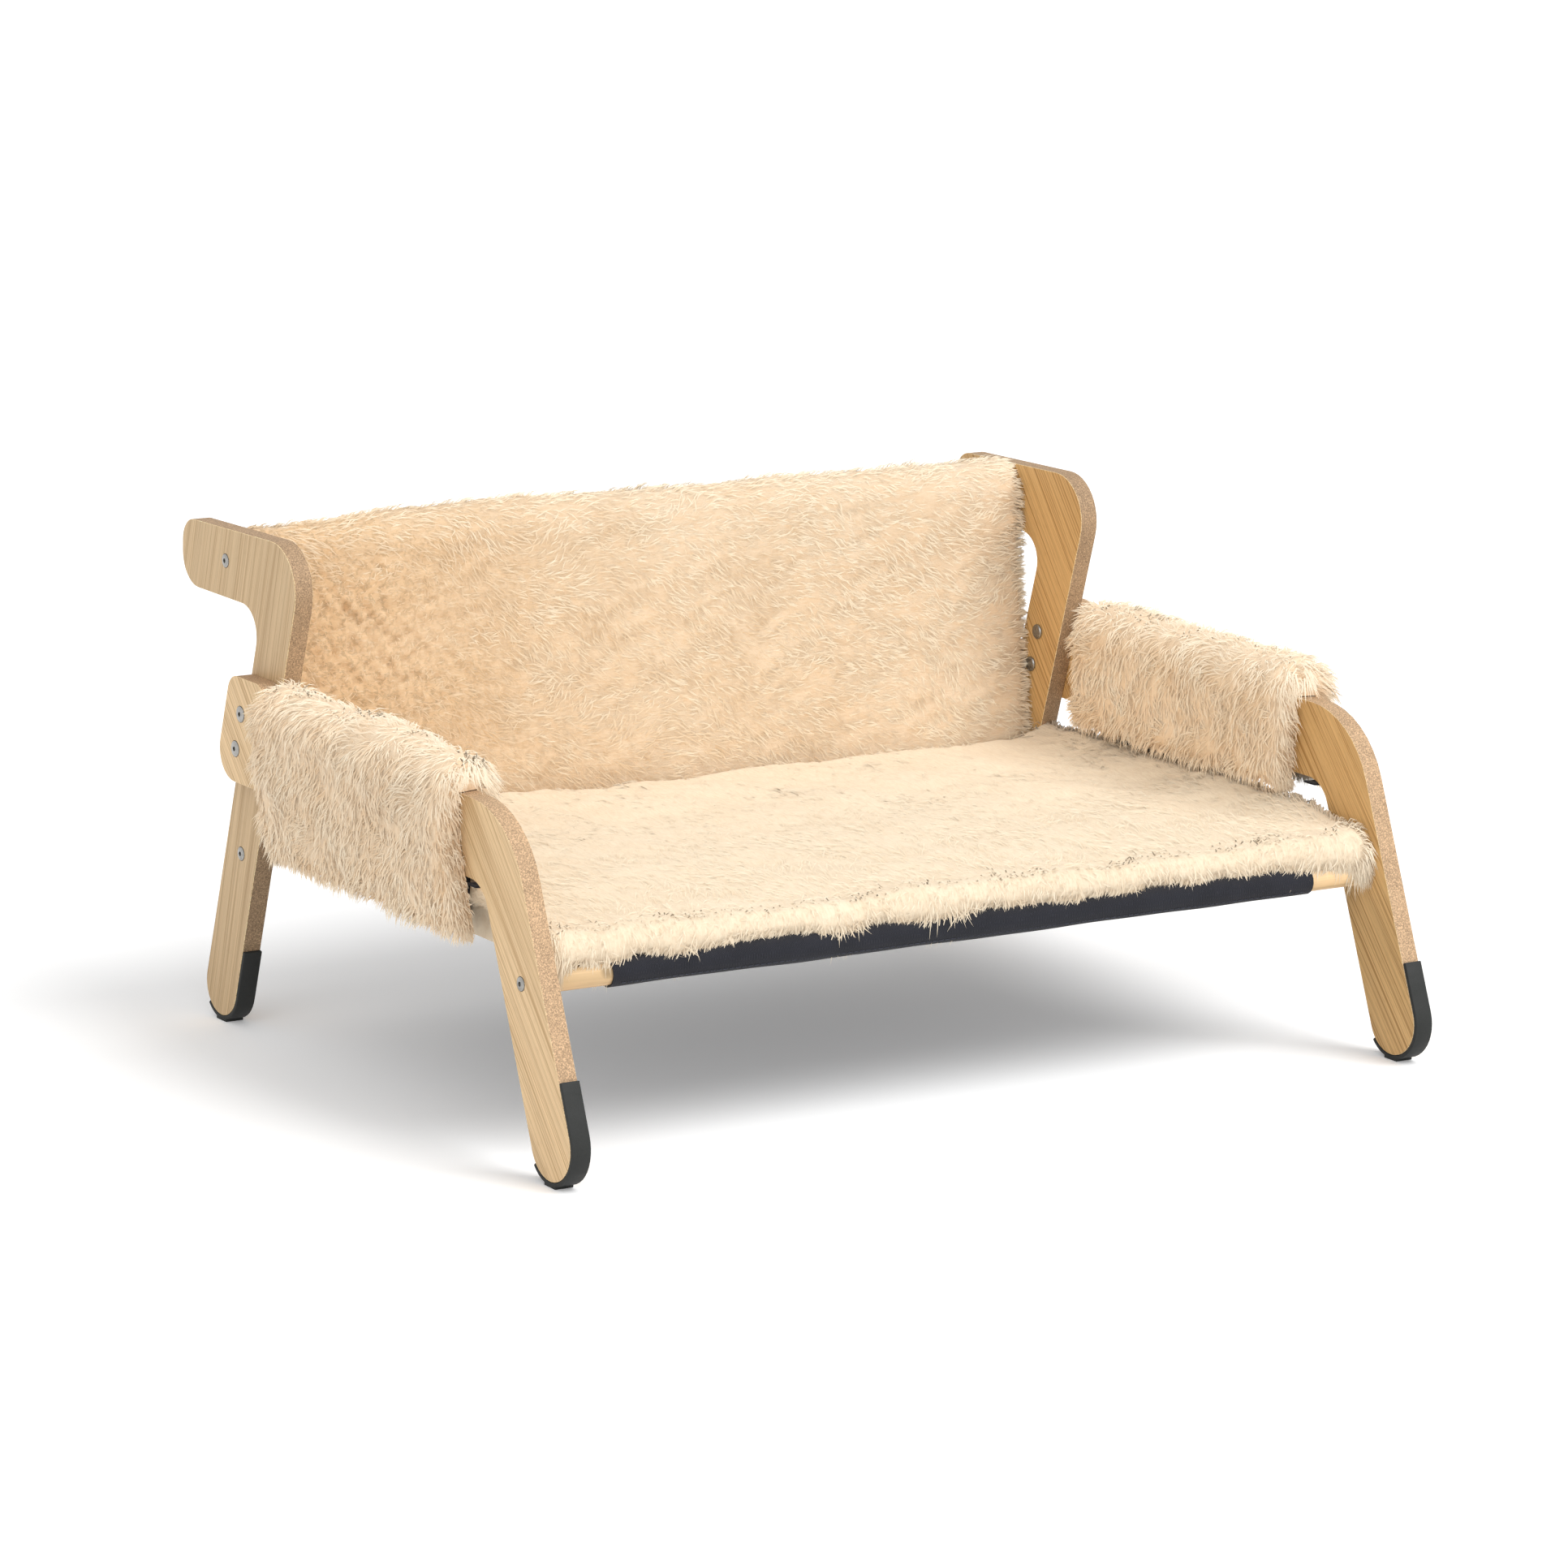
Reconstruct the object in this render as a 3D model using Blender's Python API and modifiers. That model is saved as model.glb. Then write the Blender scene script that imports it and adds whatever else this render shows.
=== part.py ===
"""Raised pet lounger: two pairs of cut boards, three round rails, a canvas sling and pile covers.

Metres, +Z up, front towards -Y. The side view is drawn with y = 0 on the front rail's axis,
and one empty moves the whole lounger so that its footprint is centred on the origin.
"""
import math

import bmesh
import bpy
from mathutils import Vector

# Clearances
FIT = 0.0003
HOLE_ROOM = 0.0003

# Frame
FRAME_WIDTH = 0.600
BOARD = 0.012
ARRIS = 0.0009
DOWEL = 0.014
SEAT_DEPTH = 0.3464
RAIL_HEIGHT = 0.108

# Arm board: a splayed front leg that bends into the arm and ends in a raised block
FRONT_SPLAY = math.radians(22.5)
FRONT_LEG = 0.042
ARM_TOP = 0.202
ARM_DEPTH = 0.046
KNEE_RADIUS = 0.060
ARMPIT_RADIUS = 0.020
BLOCK_RISE = 0.018
BLOCK_WIDTH = 0.041
BLOCK_OVERHANG = 0.0045
BLOCK_FRONT_RADIUS = 0.012
BLOCK_REAR_RADIUS = 0.011
BLOCK_FOOT_RADIUS = 0.018
BLOCK_STEP_RADIUS = 0.008

# Back board: a leaning rear leg whose top turns back into a hook
BACK_LEAN = math.radians(15.3)
BACK_LEG = 0.037
BACK_TOP = 0.304
HOOK_LENGTH = 0.149
HOOK_DEPTH = 0.044
HOOK_FALL = 0.004
BROW_RADIUS = 0.029
HOOK_TOP_RADIUS = 0.014
HOOK_TIP_RADIUS = 0.020
HOOK_THROAT_RADIUS = 0.018
TOP_RAIL_INSET = 0.054

# Rubber foot strips
PAD = 0.0024
FRONT_PAD_RISE = 0.031
REAR_PAD_RISE = 0.0325
PAD_WRAP = math.radians(48)
GLIDE = 0.0008
GLIDE_WIDTH = 0.012

# Bolts, inserts and nuts
BOLT = 0.004
RAIL_HEAD = 0.0082
BLOCK_HEAD = 0.0096
HEAD_HEIGHT = 0.0022
HEAD_DOME = 0.0007
HEAD_RECESS = 0.0016
SOCKET = 0.0031
SOCKET_DEPTH = 0.0014
INSERT = 0.0074
INSERT_LENGTH = 0.017
BOLT_GRIP = 0.013
TIP_ROOM = 0.003
NUT_FLANGE = 0.0095
NUT_FLANGE_HEIGHT = 0.0012
NUT_BARREL = 0.0062
NUT_LENGTH = 0.008
NUT_GRIP = 0.006
BLOCK_BOLT_SETBACK = 0.0041
BLOCK_BOLT_TOP = 0.023
BLOCK_BOLT_PITCH = 0.022

# Canvas and pile
CLOTH = 0.001
HEM = 0.0006
SLEEVE_WIDTH = 0.487
SEAT_CLOTH_MARGIN = 0.008
SEAT_PILE = 0.017
SEAT_CROWN = 0.003
SEAT_PILE_MARGIN = 0.003
SEAT_NOSE = 0.0105
BACK_PILE = 0.017
BACK_PILE_REAR = 0.013
BACK_PILE_DROP = 0.012
ARM_PILE = 0.0175
ARM_SWELL = 0.0015
COVER_REAR_ROOM = 0.0083
COVER_LENGTH = 0.240
COVER_SWING = 0.35
INNER_SETBACK = 0.009
OUTER_FLAP = 0.034
INNER_FLAP = 0.009
LINING_SETBACK = 0.004
STRAP_WIDTH = 0.010
STRAP_SHOW = 0.006
STRAP = 0.0015
STRAP_DROP = 0.003
STRAP_SETBACK = 0.0084

# Fineness of the meshes
ARC_STEP = math.radians(9)
TURNED_STEPS = 16
RAIL_STEPS = 24
SLEEVE_STEP = math.radians(15)
DOUBLE = 0.00001

# How a pile thins out: shares of its thickness, and of the run over which it thins
PILE_END = 0.45
PILE_THINNING = [(0.0, 0.0), (0.15, 0.4), (0.5, 0.75), (1.0, 1.0)]
PILE_SPANS = 6
PILE_LAP = 0.3
PILE_EDGE_FALL = 0.25
PILE_SQUARENESS = 14
PILE_LIP = 0.7
BACK_HEEL = 0.8
BACK_FULLNESS = 0.05
CROWN_STEPS = 8
CROWN_INSET = 0.03
BACK_STEPS = 5
COVER_STEPS = 8
COVER_RUN = 0.8

# Places that follow from the sizes above
ARM_OUTER = FRAME_WIDTH / 2
ARM_INNER = ARM_OUTER - BOARD
BACK_OUTER = ARM_INNER - FIT
BACK_INNER = BACK_OUTER - BOARD
ARM_UNDER = ARM_TOP - ARM_DEPTH
BLOCK_TOP = ARM_TOP + BLOCK_RISE
SLEEVE_BORE = DOWEL / 2 + FIT
SLEEVE = SLEEVE_BORE + CLOTH
FRONT_DOWN = Vector((-math.sin(FRONT_SPLAY), -math.cos(FRONT_SPLAY)))
FRONT_OUT = Vector((-math.cos(FRONT_SPLAY), math.sin(FRONT_SPLAY)))
BACK_DOWN = Vector((math.sin(BACK_LEAN), -math.cos(BACK_LEAN)))
BACK_OUT = Vector((-math.cos(BACK_LEAN), -math.sin(BACK_LEAN)))
FRONT_RAIL = Vector((0.0, RAIL_HEIGHT))
REAR_RAIL = Vector((SEAT_DEPTH, RAIL_HEIGHT))


def along(point, down, height):
    """Point at a height on the line through point along down."""
    return point + down * ((point.y - height) / -down.y)


def foot_centre(rail, down, leg):
    """Centre of the round foot of a leg that runs down from a rail's axis."""
    return along(rail, down, GLIDE + PAD + FIT + leg / 2)


FRONT_FOOT = foot_centre(FRONT_RAIL, FRONT_DOWN, FRONT_LEG)
REAR_FOOT = foot_centre(REAR_RAIL, BACK_DOWN, BACK_LEG)
BACK_FRONT_EDGE = REAR_RAIL + BACK_OUT * (BACK_LEG / 2)
BACK_REAR_EDGE = REAR_RAIL - BACK_OUT * (BACK_LEG / 2)
HOOK_END = along(BACK_FRONT_EDGE, BACK_DOWN, BACK_TOP).x + HOOK_LENGTH
TOP_RAIL = Vector((HOOK_END - TOP_RAIL_INSET, BACK_TOP - HOOK_DEPTH / 2))
FOREMOST = FRONT_FOOT.x - FRONT_LEG / 2 - FIT - PAD
CENTRE_SHIFT = -(FOREMOST + HOOK_END) / 2
SEAT_TOP = RAIL_HEIGHT + SLEEVE
BACK_UP = (TOP_RAIL - REAR_RAIL).normalized()
BACK_FORWARD = Vector((-BACK_UP.y, BACK_UP.x))
BACK_FACING = math.atan2(BACK_FORWARD.y, BACK_FORWARD.x)
BACK_ROLL_STEP = math.pi / 8
ARMPIT = along(FRONT_RAIL - FRONT_OUT * (FRONT_LEG / 2), FRONT_DOWN, ARM_UNDER)
PILE_GAP = FIT + CLOTH + FIT
COVER_REAR = along(BACK_FRONT_EDGE, BACK_DOWN, ARM_TOP + PILE_GAP + ARM_PILE).x - COVER_REAR_ROOM
COVER_FRONT = COVER_REAR - COVER_LENGTH
STRAP_FRONT = max(ARMPIT.x + STRAP_SETBACK, COVER_FRONT + INNER_SETBACK - STRAP_SHOW)
BLOCK_BOLTS = [
    along(REAR_RAIL, BACK_DOWN, BLOCK_TOP - BLOCK_BOLT_TOP - i * BLOCK_BOLT_PITCH)
    - BACK_OUT * BLOCK_BOLT_SETBACK
    for i in range(2)
]


def clear_scene():
    for obj in list(bpy.data.objects):
        bpy.data.objects.remove(obj, do_unlink=True)


def collection(name, hidden=False):
    group = bpy.data.collections.new(name)
    bpy.context.scene.collection.children.link(group)
    group.hide_render = hidden
    return group


def material(name, color, roughness, metallic=0.0):
    made = bpy.data.materials.new(name)
    made.use_nodes = True
    shader = made.node_tree.nodes["Principled BSDF"]
    shader.inputs["Base Color"].default_value = (*color, 1.0)
    shader.inputs["Roughness"].default_value = roughness
    shader.inputs["Metallic"].default_value = metallic
    made.diffuse_color = (*color, 1.0)
    return made


def unit(angle):
    return Vector((math.cos(angle), math.sin(angle)))


def arc(centre, radius, first, last, step=ARC_STEP):
    """Points about centre from the first angle to the last, both kept."""
    steps = max(2, math.ceil(abs(last - first) / step))
    return [centre + radius * unit(first + (last - first) * i / steps) for i in range(steps + 1)]


def shorter_arc(centre, start, end):
    begin = math.atan2(start.y - centre.y, start.x - centre.x)
    turn = math.atan2(end.y - centre.y, end.x - centre.x) - begin
    turn = (turn + math.pi) % (2 * math.pi) - math.pi
    return arc(centre, (start - centre).length, begin, begin + turn)


def rounded(corners):
    """Closed outline through (point, radius) corners, each rounded by a tangent arc."""
    outline = []
    for i, (corner, radius) in enumerate(corners):
        before = (corners[i - 1][0] - corner).normalized()
        after = (corners[(i + 1) % len(corners)][0] - corner).normalized()
        half = before.angle(after) / 2
        reach = radius / math.tan(half)
        centre = corner + (before + after).normalized() * (radius / math.sin(half))
        outline += shorter_arc(centre, corner + before * reach, corner + after * reach)
    return without_doubles(outline)


def without_doubles(outline):
    kept = []
    for point in outline:
        if not kept or (point - kept[-1]).length > DOUBLE:
            kept.append(point)
    if (kept[0] - kept[-1]).length <= DOUBLE:
        kept.pop()
    return kept


def circle(centre, radius):
    return arc(centre, radius, 0.0, 2 * math.pi, SLEEVE_STEP)[:-1]


class Lounger:
    """Collections, the empty that everything hangs on, and the ways a piece is made."""

    def __init__(self):
        self.parts = collection("pet_lounger")
        self.cutters = collection("cutters", hidden=True)
        self.frame = bpy.data.objects.new("lounger_centre", None)
        self.frame.location = (0.0, CENTRE_SHIFT, 0.0)
        self.parts.objects.link(self.frame)

    def add(self, name, mesh, look=None, location=(0, 0, 0), rotation=(0, 0, 0)):
        obj = bpy.data.objects.new(name, mesh)
        group = self.parts if look else self.cutters
        group.objects.link(obj)
        obj.parent = self.frame
        obj.location = location
        obj.rotation_euler = rotation
        if look:
            mesh.materials.append(look)
        else:
            obj.display_type = "WIRE"
            obj.hide_render = True
        return obj

    def slab(self, name, outlines, low, high, look=None):
        """Flat outline drawn in the side view, made as thick as low to high across the width."""
        curve = bpy.data.curves.new(name + "_outline", "CURVE")
        curve.dimensions = "2D"
        curve.fill_mode = "BOTH"
        curve.extrude = (high - low) / 2
        for outline in outlines:
            spline = curve.splines.new("POLY")
            spline.points.add(len(outline) - 1)
            for point, place in zip(spline.points, outline):
                point.co = (place.x, place.y, 0.0, 1.0)
            spline.use_cyclic_u = True
        drawn = bpy.data.objects.new(name + "_outline", curve)
        self.cutters.objects.link(drawn)
        bpy.context.view_layer.update()
        evaluated = drawn.evaluated_get(bpy.context.evaluated_depsgraph_get())
        mesh = bpy.data.meshes.new_from_object(evaluated)
        mesh.name = name
        bpy.data.objects.remove(drawn, do_unlink=True)
        close(mesh)
        middle = ((low + high) / 2, 0.0, 0.0)
        return self.add(name, mesh, look, middle, (math.pi / 2, 0.0, math.pi / 2))

    def turned(self, name, profile, look=None, location=(0, 0, 0), side=1, steps=TURNED_STEPS):
        """Profile of (radius, height) points turned about an axis that points out to one side."""
        area = sum(r0 * z1 - r1 * z0 for (r0, z0), (r1, z1) in zip(profile, profile[1:] + profile[:1]))
        if area > 0:
            profile = profile[::-1]
        mesh = bpy.data.meshes.new(name)
        shape = bmesh.new()
        points = [shape.verts.new((radius, 0.0, height)) for radius, height in profile]
        for first, second in zip(points, points[1:]):
            shape.edges.new((first, second))
        shape.to_mesh(mesh)
        shape.free()
        obj = self.add(name, mesh, look, location, (0.0, side * math.pi / 2, 0.0))
        screw = obj.modifiers.new("turned", "SCREW")
        screw.steps = steps
        screw.render_steps = steps
        screw.use_merge_vertices = True
        screw.merge_threshold = DOUBLE
        screw.use_smooth_shade = False
        return obj

    def loft(self, name, rings, look):
        """Skin over rings of equal count, closed by a flat cap at each end."""
        mesh = bpy.data.meshes.new(name)
        shape = bmesh.new()
        made = [[shape.verts.new(point) for point in ring] for ring in rings]
        for first, second in zip(made, made[1:]):
            for i in range(len(first)):
                j = (i + 1) % len(first)
                shape.faces.new((first[i], first[j], second[j], second[i]))
        shape.faces.new(made[0])
        shape.faces.new(made[-1])
        bmesh.ops.recalc_face_normals(shape, faces=shape.faces)
        shape.to_mesh(mesh)
        shape.free()
        return self.add(name, mesh, look)


def close(mesh):
    """Weld a converted curve's caps to its walls."""
    shape = bmesh.new()
    shape.from_mesh(mesh)
    bmesh.ops.remove_doubles(shape, verts=shape.verts, dist=DOUBLE)
    bmesh.ops.recalc_face_normals(shape, faces=shape.faces)
    shape.to_mesh(mesh)
    shape.free()


def soften(obj, width):
    bevel = obj.modifiers.new("arris", "BEVEL")
    bevel.width = width
    bevel.segments = 1
    bevel.limit_method = "ANGLE"
    bevel.angle_limit = math.radians(60)


def cut(obj, cutter, operation="DIFFERENCE"):
    boolean = obj.modifiers.new(cutter.name, "BOOLEAN")
    boolean.operation = operation
    boolean.solver = "EXACT"
    boolean.object = cutter


def arm_outline():
    half = FRONT_LEG / 2
    sole = FRONT_FOOT + FRONT_DOWN * half
    front = FRONT_RAIL + FRONT_OUT * half
    rear = FRONT_RAIL - FRONT_OUT * half
    block_rear = along(BACK_REAR_EDGE, BACK_DOWN, BLOCK_TOP) + Vector((BLOCK_OVERHANG, 0.0))
    block_heel = along(BACK_REAR_EDGE, BACK_DOWN, ARM_UNDER) + Vector((BLOCK_OVERHANG, 0.0))
    block_front = block_rear - Vector((BLOCK_WIDTH, 0.0))
    return rounded([
        (sole + FRONT_OUT * half, half),
        (along(front, FRONT_DOWN, ARM_TOP), KNEE_RADIUS),
        (Vector((block_front.x - BLOCK_STEP_RADIUS / 2, ARM_TOP)), BLOCK_STEP_RADIUS),
        (block_front, BLOCK_FRONT_RADIUS),
        (block_rear, BLOCK_REAR_RADIUS),
        (block_heel, BLOCK_FOOT_RADIUS),
        (along(rear, FRONT_DOWN, ARM_UNDER), ARMPIT_RADIUS),
        (sole - FRONT_OUT * half, half),
    ])


def back_outline():
    half = BACK_LEG / 2
    sole = REAR_FOOT + BACK_DOWN * half
    hook_under = BACK_TOP - HOOK_DEPTH
    return rounded([
        (sole + BACK_OUT * half, half),
        (along(BACK_FRONT_EDGE, BACK_DOWN, BACK_TOP), BROW_RADIUS),
        (Vector((HOOK_END, BACK_TOP - HOOK_FALL)), HOOK_TOP_RADIUS),
        (Vector((HOOK_END, hook_under)), HOOK_TIP_RADIUS),
        (along(BACK_REAR_EDGE, BACK_DOWN, hook_under), HOOK_THROAT_RADIUS),
        (sole - BACK_OUT * half, half),
    ])


def hole_profile(head, seat, depth):
    """Clearance hole from the seat plane down, with a counterbore that runs out of the board."""
    return [
        (0.0, seat + HEAD_HEIGHT),
        (head / 2 + HOLE_ROOM, seat + HEAD_HEIGHT),
        (head / 2 + HOLE_ROOM, seat),
        (BOLT / 2 + HOLE_ROOM, seat),
        (BOLT / 2 + HOLE_ROOM, seat - depth),
        (0.0, seat - depth),
    ]


def bolt_profile(head, length):
    """Bolt with a low domed head; height 0 is the underside of the head."""
    return [
        (0.0, HEAD_HEIGHT),
        (head * 0.3, HEAD_HEIGHT - HEAD_DOME * 0.3),
        (head / 2, HEAD_HEIGHT - HEAD_DOME),
        (head / 2, 0.0),
        (BOLT / 2, 0.0),
        (BOLT / 2, -length + BOLT / 4),
        (BOLT / 4, -length),
        (0.0, -length),
    ]


def socket_in(lounger, bolt, side):
    """Six-sided driver socket in a bolt's head."""
    mesh = bpy.data.meshes.new(bolt.name + "_socket")
    shape = bmesh.new()
    bmesh.ops.create_cone(
        shape, cap_ends=True, segments=6, radius1=SOCKET / 2, radius2=SOCKET / 2, depth=2 * SOCKET_DEPTH
    )
    shape.to_mesh(mesh)
    shape.free()
    place = bolt.location + Vector((side * HEAD_HEIGHT, 0.0, 0.0))
    cutter = lounger.add(bolt.name + "_socket", mesh, None, place, (0.0, side * math.pi / 2, 0.0))
    cut(bolt, cutter)


def boards(lounger, looks):
    """Arm boards outside, back boards against their inner faces."""
    made = {}
    for side, word in ((-1, "left"), (1, "right")):
        spans = {
            "arm_board_" + word: (arm_outline(), ARM_INNER, ARM_OUTER),
            "back_board_" + word: (back_outline(), BACK_INNER, BACK_OUTER),
        }
        for name, (outline, inner, outer) in spans.items():
            low, high = sorted((side * inner, side * outer))
            made[name] = lounger.slab(name, [outline], low, high, looks["oak"])
            soften(made[name], ARRIS)
    return made


def rails(lounger, looks):
    """Round rails with a bore in each end for the threaded inserts."""
    made = {}
    depth = INSERT_LENGTH + TIP_ROOM
    for name, place, reach in (
        ("front_rail", FRONT_RAIL, ARM_INNER),
        ("rear_seat_rail", REAR_RAIL, BACK_INNER),
        ("top_rail", TOP_RAIL, BACK_INNER),
    ):
        half = reach - FIT
        bore = INSERT / 2 + HOLE_ROOM
        profile = [
            (0.0, half - depth),
            (bore, half - depth),
            (bore, half),
            (DOWEL / 2 - ARRIS, half),
            (DOWEL / 2, half - ARRIS),
            (DOWEL / 2, ARRIS - half),
            (DOWEL / 2 - ARRIS, -half),
            (bore, -half),
            (bore, depth - half),
            (0.0, depth - half),
        ]
        made[name] = lounger.turned(name, profile, looks["pine"], (0.0, place.x, place.y), 1, RAIL_STEPS)
    return made


def rail_fixings(lounger, looks, made):
    """A bolt through each board into a threaded insert in the rail's end."""
    for rail, place, board, outer, inner in (
        ("front_rail", FRONT_RAIL, "arm_board_", ARM_OUTER, ARM_INNER),
        ("rear_seat_rail", REAR_RAIL, "back_board_", BACK_OUTER, BACK_INNER),
        ("top_rail", TOP_RAIL, "back_board_", BACK_OUTER, BACK_INNER),
    ):
        for side, word in ((-1, "left"), (1, "right")):
            stem = rail + "_" + word
            seat = outer - HEAD_RECESS
            hole = hole_profile(RAIL_HEAD, 0.0, BOARD + TIP_ROOM)
            cutter = lounger.turned(stem + "_hole", hole, None, (side * seat, place.x, place.y), side)
            cut(made[board + word], cutter)
            head = (side * (seat + FIT), place.x, place.y)
            length = seat + FIT - inner + BOLT_GRIP
            bolt = lounger.turned(
                stem + "_bolt", bolt_profile(RAIL_HEAD, length), looks["nickel"], head, side
            )
            socket_in(lounger, bolt, side)
            end = inner - 2 * FIT
            sleeve = [
                (BOLT / 2 + HOLE_ROOM, 0.0),
                (INSERT / 2, 0.0),
                (INSERT / 2, -INSERT_LENGTH),
                (BOLT / 2 + HOLE_ROOM, -INSERT_LENGTH),
                (BOLT / 2 + HOLE_ROOM, 0.0),
            ]
            lounger.turned(stem + "_insert", sleeve, looks["brass"], (side * end, place.x, place.y), side)


def block_fixings(lounger, looks, made):
    """Two bolts a side clamp the arm board's block to the back board, into sleeve nuts."""
    for side, word in ((-1, "left"), (1, "right")):
        for height, place in zip(("upper", "lower"), BLOCK_BOLTS):
            stem = height + "_block_" + word
            seat = ARM_OUTER - HEAD_RECESS
            hole = hole_profile(BLOCK_HEAD, 0.0, 2 * BOARD + TIP_ROOM)
            cutter = lounger.turned(stem + "_hole", hole, None, (side * seat, place.x, place.y), side)
            cut(made["arm_board_" + word], cutter)
            cut(made["back_board_" + word], cutter)
            barrel = NUT_BARREL / 2 + HOLE_ROOM
            pocket = [(0.0, NUT_LENGTH + FIT), (barrel, NUT_LENGTH + FIT), (barrel, -TIP_ROOM), (0.0, -TIP_ROOM)]
            cutter = lounger.turned(
                stem + "_pocket", pocket, None, (side * BACK_INNER, place.x, place.y), side
            )
            cut(made["back_board_" + word], cutter)
            face = BACK_INNER - FIT
            nut = [
                (0.0, -NUT_FLANGE_HEIGHT),
                (NUT_FLANGE / 2 - HEAD_DOME, -NUT_FLANGE_HEIGHT),
                (NUT_FLANGE / 2, -NUT_FLANGE_HEIGHT / 2),
                (NUT_FLANGE / 2, 0.0),
                (NUT_BARREL / 2, 0.0),
                (NUT_BARREL / 2, NUT_LENGTH),
                (BOLT / 2 + HOLE_ROOM, NUT_LENGTH),
                (BOLT / 2 + HOLE_ROOM, NUT_LENGTH - NUT_GRIP - FIT),
                (0.0, NUT_LENGTH - NUT_GRIP - FIT),
            ]
            lounger.turned(stem + "_nut", nut, looks["nickel"], (side * face, place.x, place.y), side)
            length = seat + FIT - (face + NUT_LENGTH - NUT_GRIP)
            head = (side * (seat + FIT), place.x, place.y)
            bolt = lounger.turned(
                stem + "_bolt", bolt_profile(BLOCK_HEAD, length), looks["nickel"], head, side
            )
            socket_in(lounger, bolt, side)


def pad_outline(foot, down, out, leg, rise):
    """Strip down the front edge of a leg and round under its foot, with a flat glide at the bottom."""
    inner = leg / 2 + FIT
    outer = inner + PAD
    lowest = math.acos(max(-1.0, min(1.0, -out.y)))
    glide = math.asin(GLIDE_WIDTH / 2 / outer)

    start = math.atan2(out.y, out.x)

    def sweep(radius, first, last):
        return arc(foot, radius, start + first, start + last)

    last = lowest + PAD_WRAP
    flat = [Vector((foot.x + turn * GLIDE_WIDTH / 2, 0.0)) for turn in (-1, 1)]
    outside = sweep(outer, 0.0, lowest - glide) + flat + sweep(outer, lowest + glide, last)
    inside = sweep(inner, last, 0.0)
    top = [foot + out * inner - down * rise, foot + out * outer - down * rise]
    return without_doubles(top + outside + inside)


def foot_pads(lounger, looks):
    for side, word in ((-1, "left"), (1, "right")):
        for end, foot, down, out, leg, rise, inner, outer in (
            ("front", FRONT_FOOT, FRONT_DOWN, FRONT_OUT, FRONT_LEG, FRONT_PAD_RISE, ARM_INNER, ARM_OUTER),
            ("rear", REAR_FOOT, BACK_DOWN, BACK_OUT, BACK_LEG, REAR_PAD_RISE, BACK_INNER, BACK_OUTER),
        ):
            low, high = sorted((side * inner, side * outer))
            outline = pad_outline(foot, down, out, leg, rise)
            lounger.slab(end + "_foot_pad_" + word, [outline], low, high, looks["rubber"])


def seat_canvas(lounger, looks):
    """Flat seat cloth with a sleeve round the front rail and one round the rear seat rail."""
    under = math.asin(SLEEVE_BORE / SLEEVE)
    front = arc(FRONT_RAIL, SLEEVE, math.pi / 2, 2 * math.pi + under, SLEEVE_STEP)
    rear = arc(REAR_RAIL, SLEEVE, -math.pi - under, math.pi / 2, SLEEVE_STEP)
    holes = [circle(place, SLEEVE_BORE) for place in (FRONT_RAIL, REAR_RAIL)]
    half = SLEEVE_WIDTH / 2
    canvas = lounger.slab("seat_canvas", [front + rear] + holes, -half, half, looks["canvas"])
    low = RAIL_HEIGHT + SLEEVE_BORE + (CLOTH - HEM) / 2
    rear_end = BACK_FRONT_EDGE.x - BACK_LEG / 4
    hem = [
        Vector((FRONT_RAIL.x, low)),
        Vector((rear_end, low)),
        Vector((rear_end, low + HEM)),
        Vector((FRONT_RAIL.x, low + HEM)),
    ]
    reach = ARM_INNER - SEAT_CLOTH_MARGIN
    for side, word in ((-1, "left"), (1, "right")):
        low_x, high_x = sorted((side * (half - SEAT_CLOTH_MARGIN), side * reach))
        wing = lounger.slab("seat_hem_" + word, [hem], low_x, high_x)
        cut(canvas, wing, "UNION")


def back_canvas(lounger, looks):
    """Back cloth from the rear seat sleeve up to a sleeve round the top rail."""
    foot = REAR_RAIL + BACK_UP * (SLEEVE + FIT)
    under = math.acos(SLEEVE_BORE / SLEEVE)
    around = arc(TOP_RAIL, SLEEVE, BACK_FACING, BACK_FACING - 2 * math.pi + under, SLEEVE_STEP)
    outline = [foot + BACK_FORWARD * SLEEVE_BORE, foot + BACK_FORWARD * SLEEVE] + around
    half = SLEEVE_WIDTH / 2
    holes = [circle(TOP_RAIL, SLEEVE_BORE)]
    lounger.slab("back_canvas", [outline] + holes, -half, half, looks["canvas"])


def end_thickness(full, share):
    """Thickness of a pile near its end: share 0 at the very end, 1 where it is full."""
    return full * (PILE_END + (1 - PILE_END) * math.sin(share * math.pi / 2))


def stations(half, run):
    """Places from -half to half that crowd over a run at both ends, with their thickness share."""
    near = [(part * run, share) for part, share in PILE_THINNING]
    left = [(-half + offset, share) for offset, share in near]
    middle = [((2 * i / PILE_SPANS - 1) * (half - run), 1.0) for i in range(1, PILE_SPANS)]
    right = [(half - offset, share) for offset, share in reversed(near)]
    return left + middle + right


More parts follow.
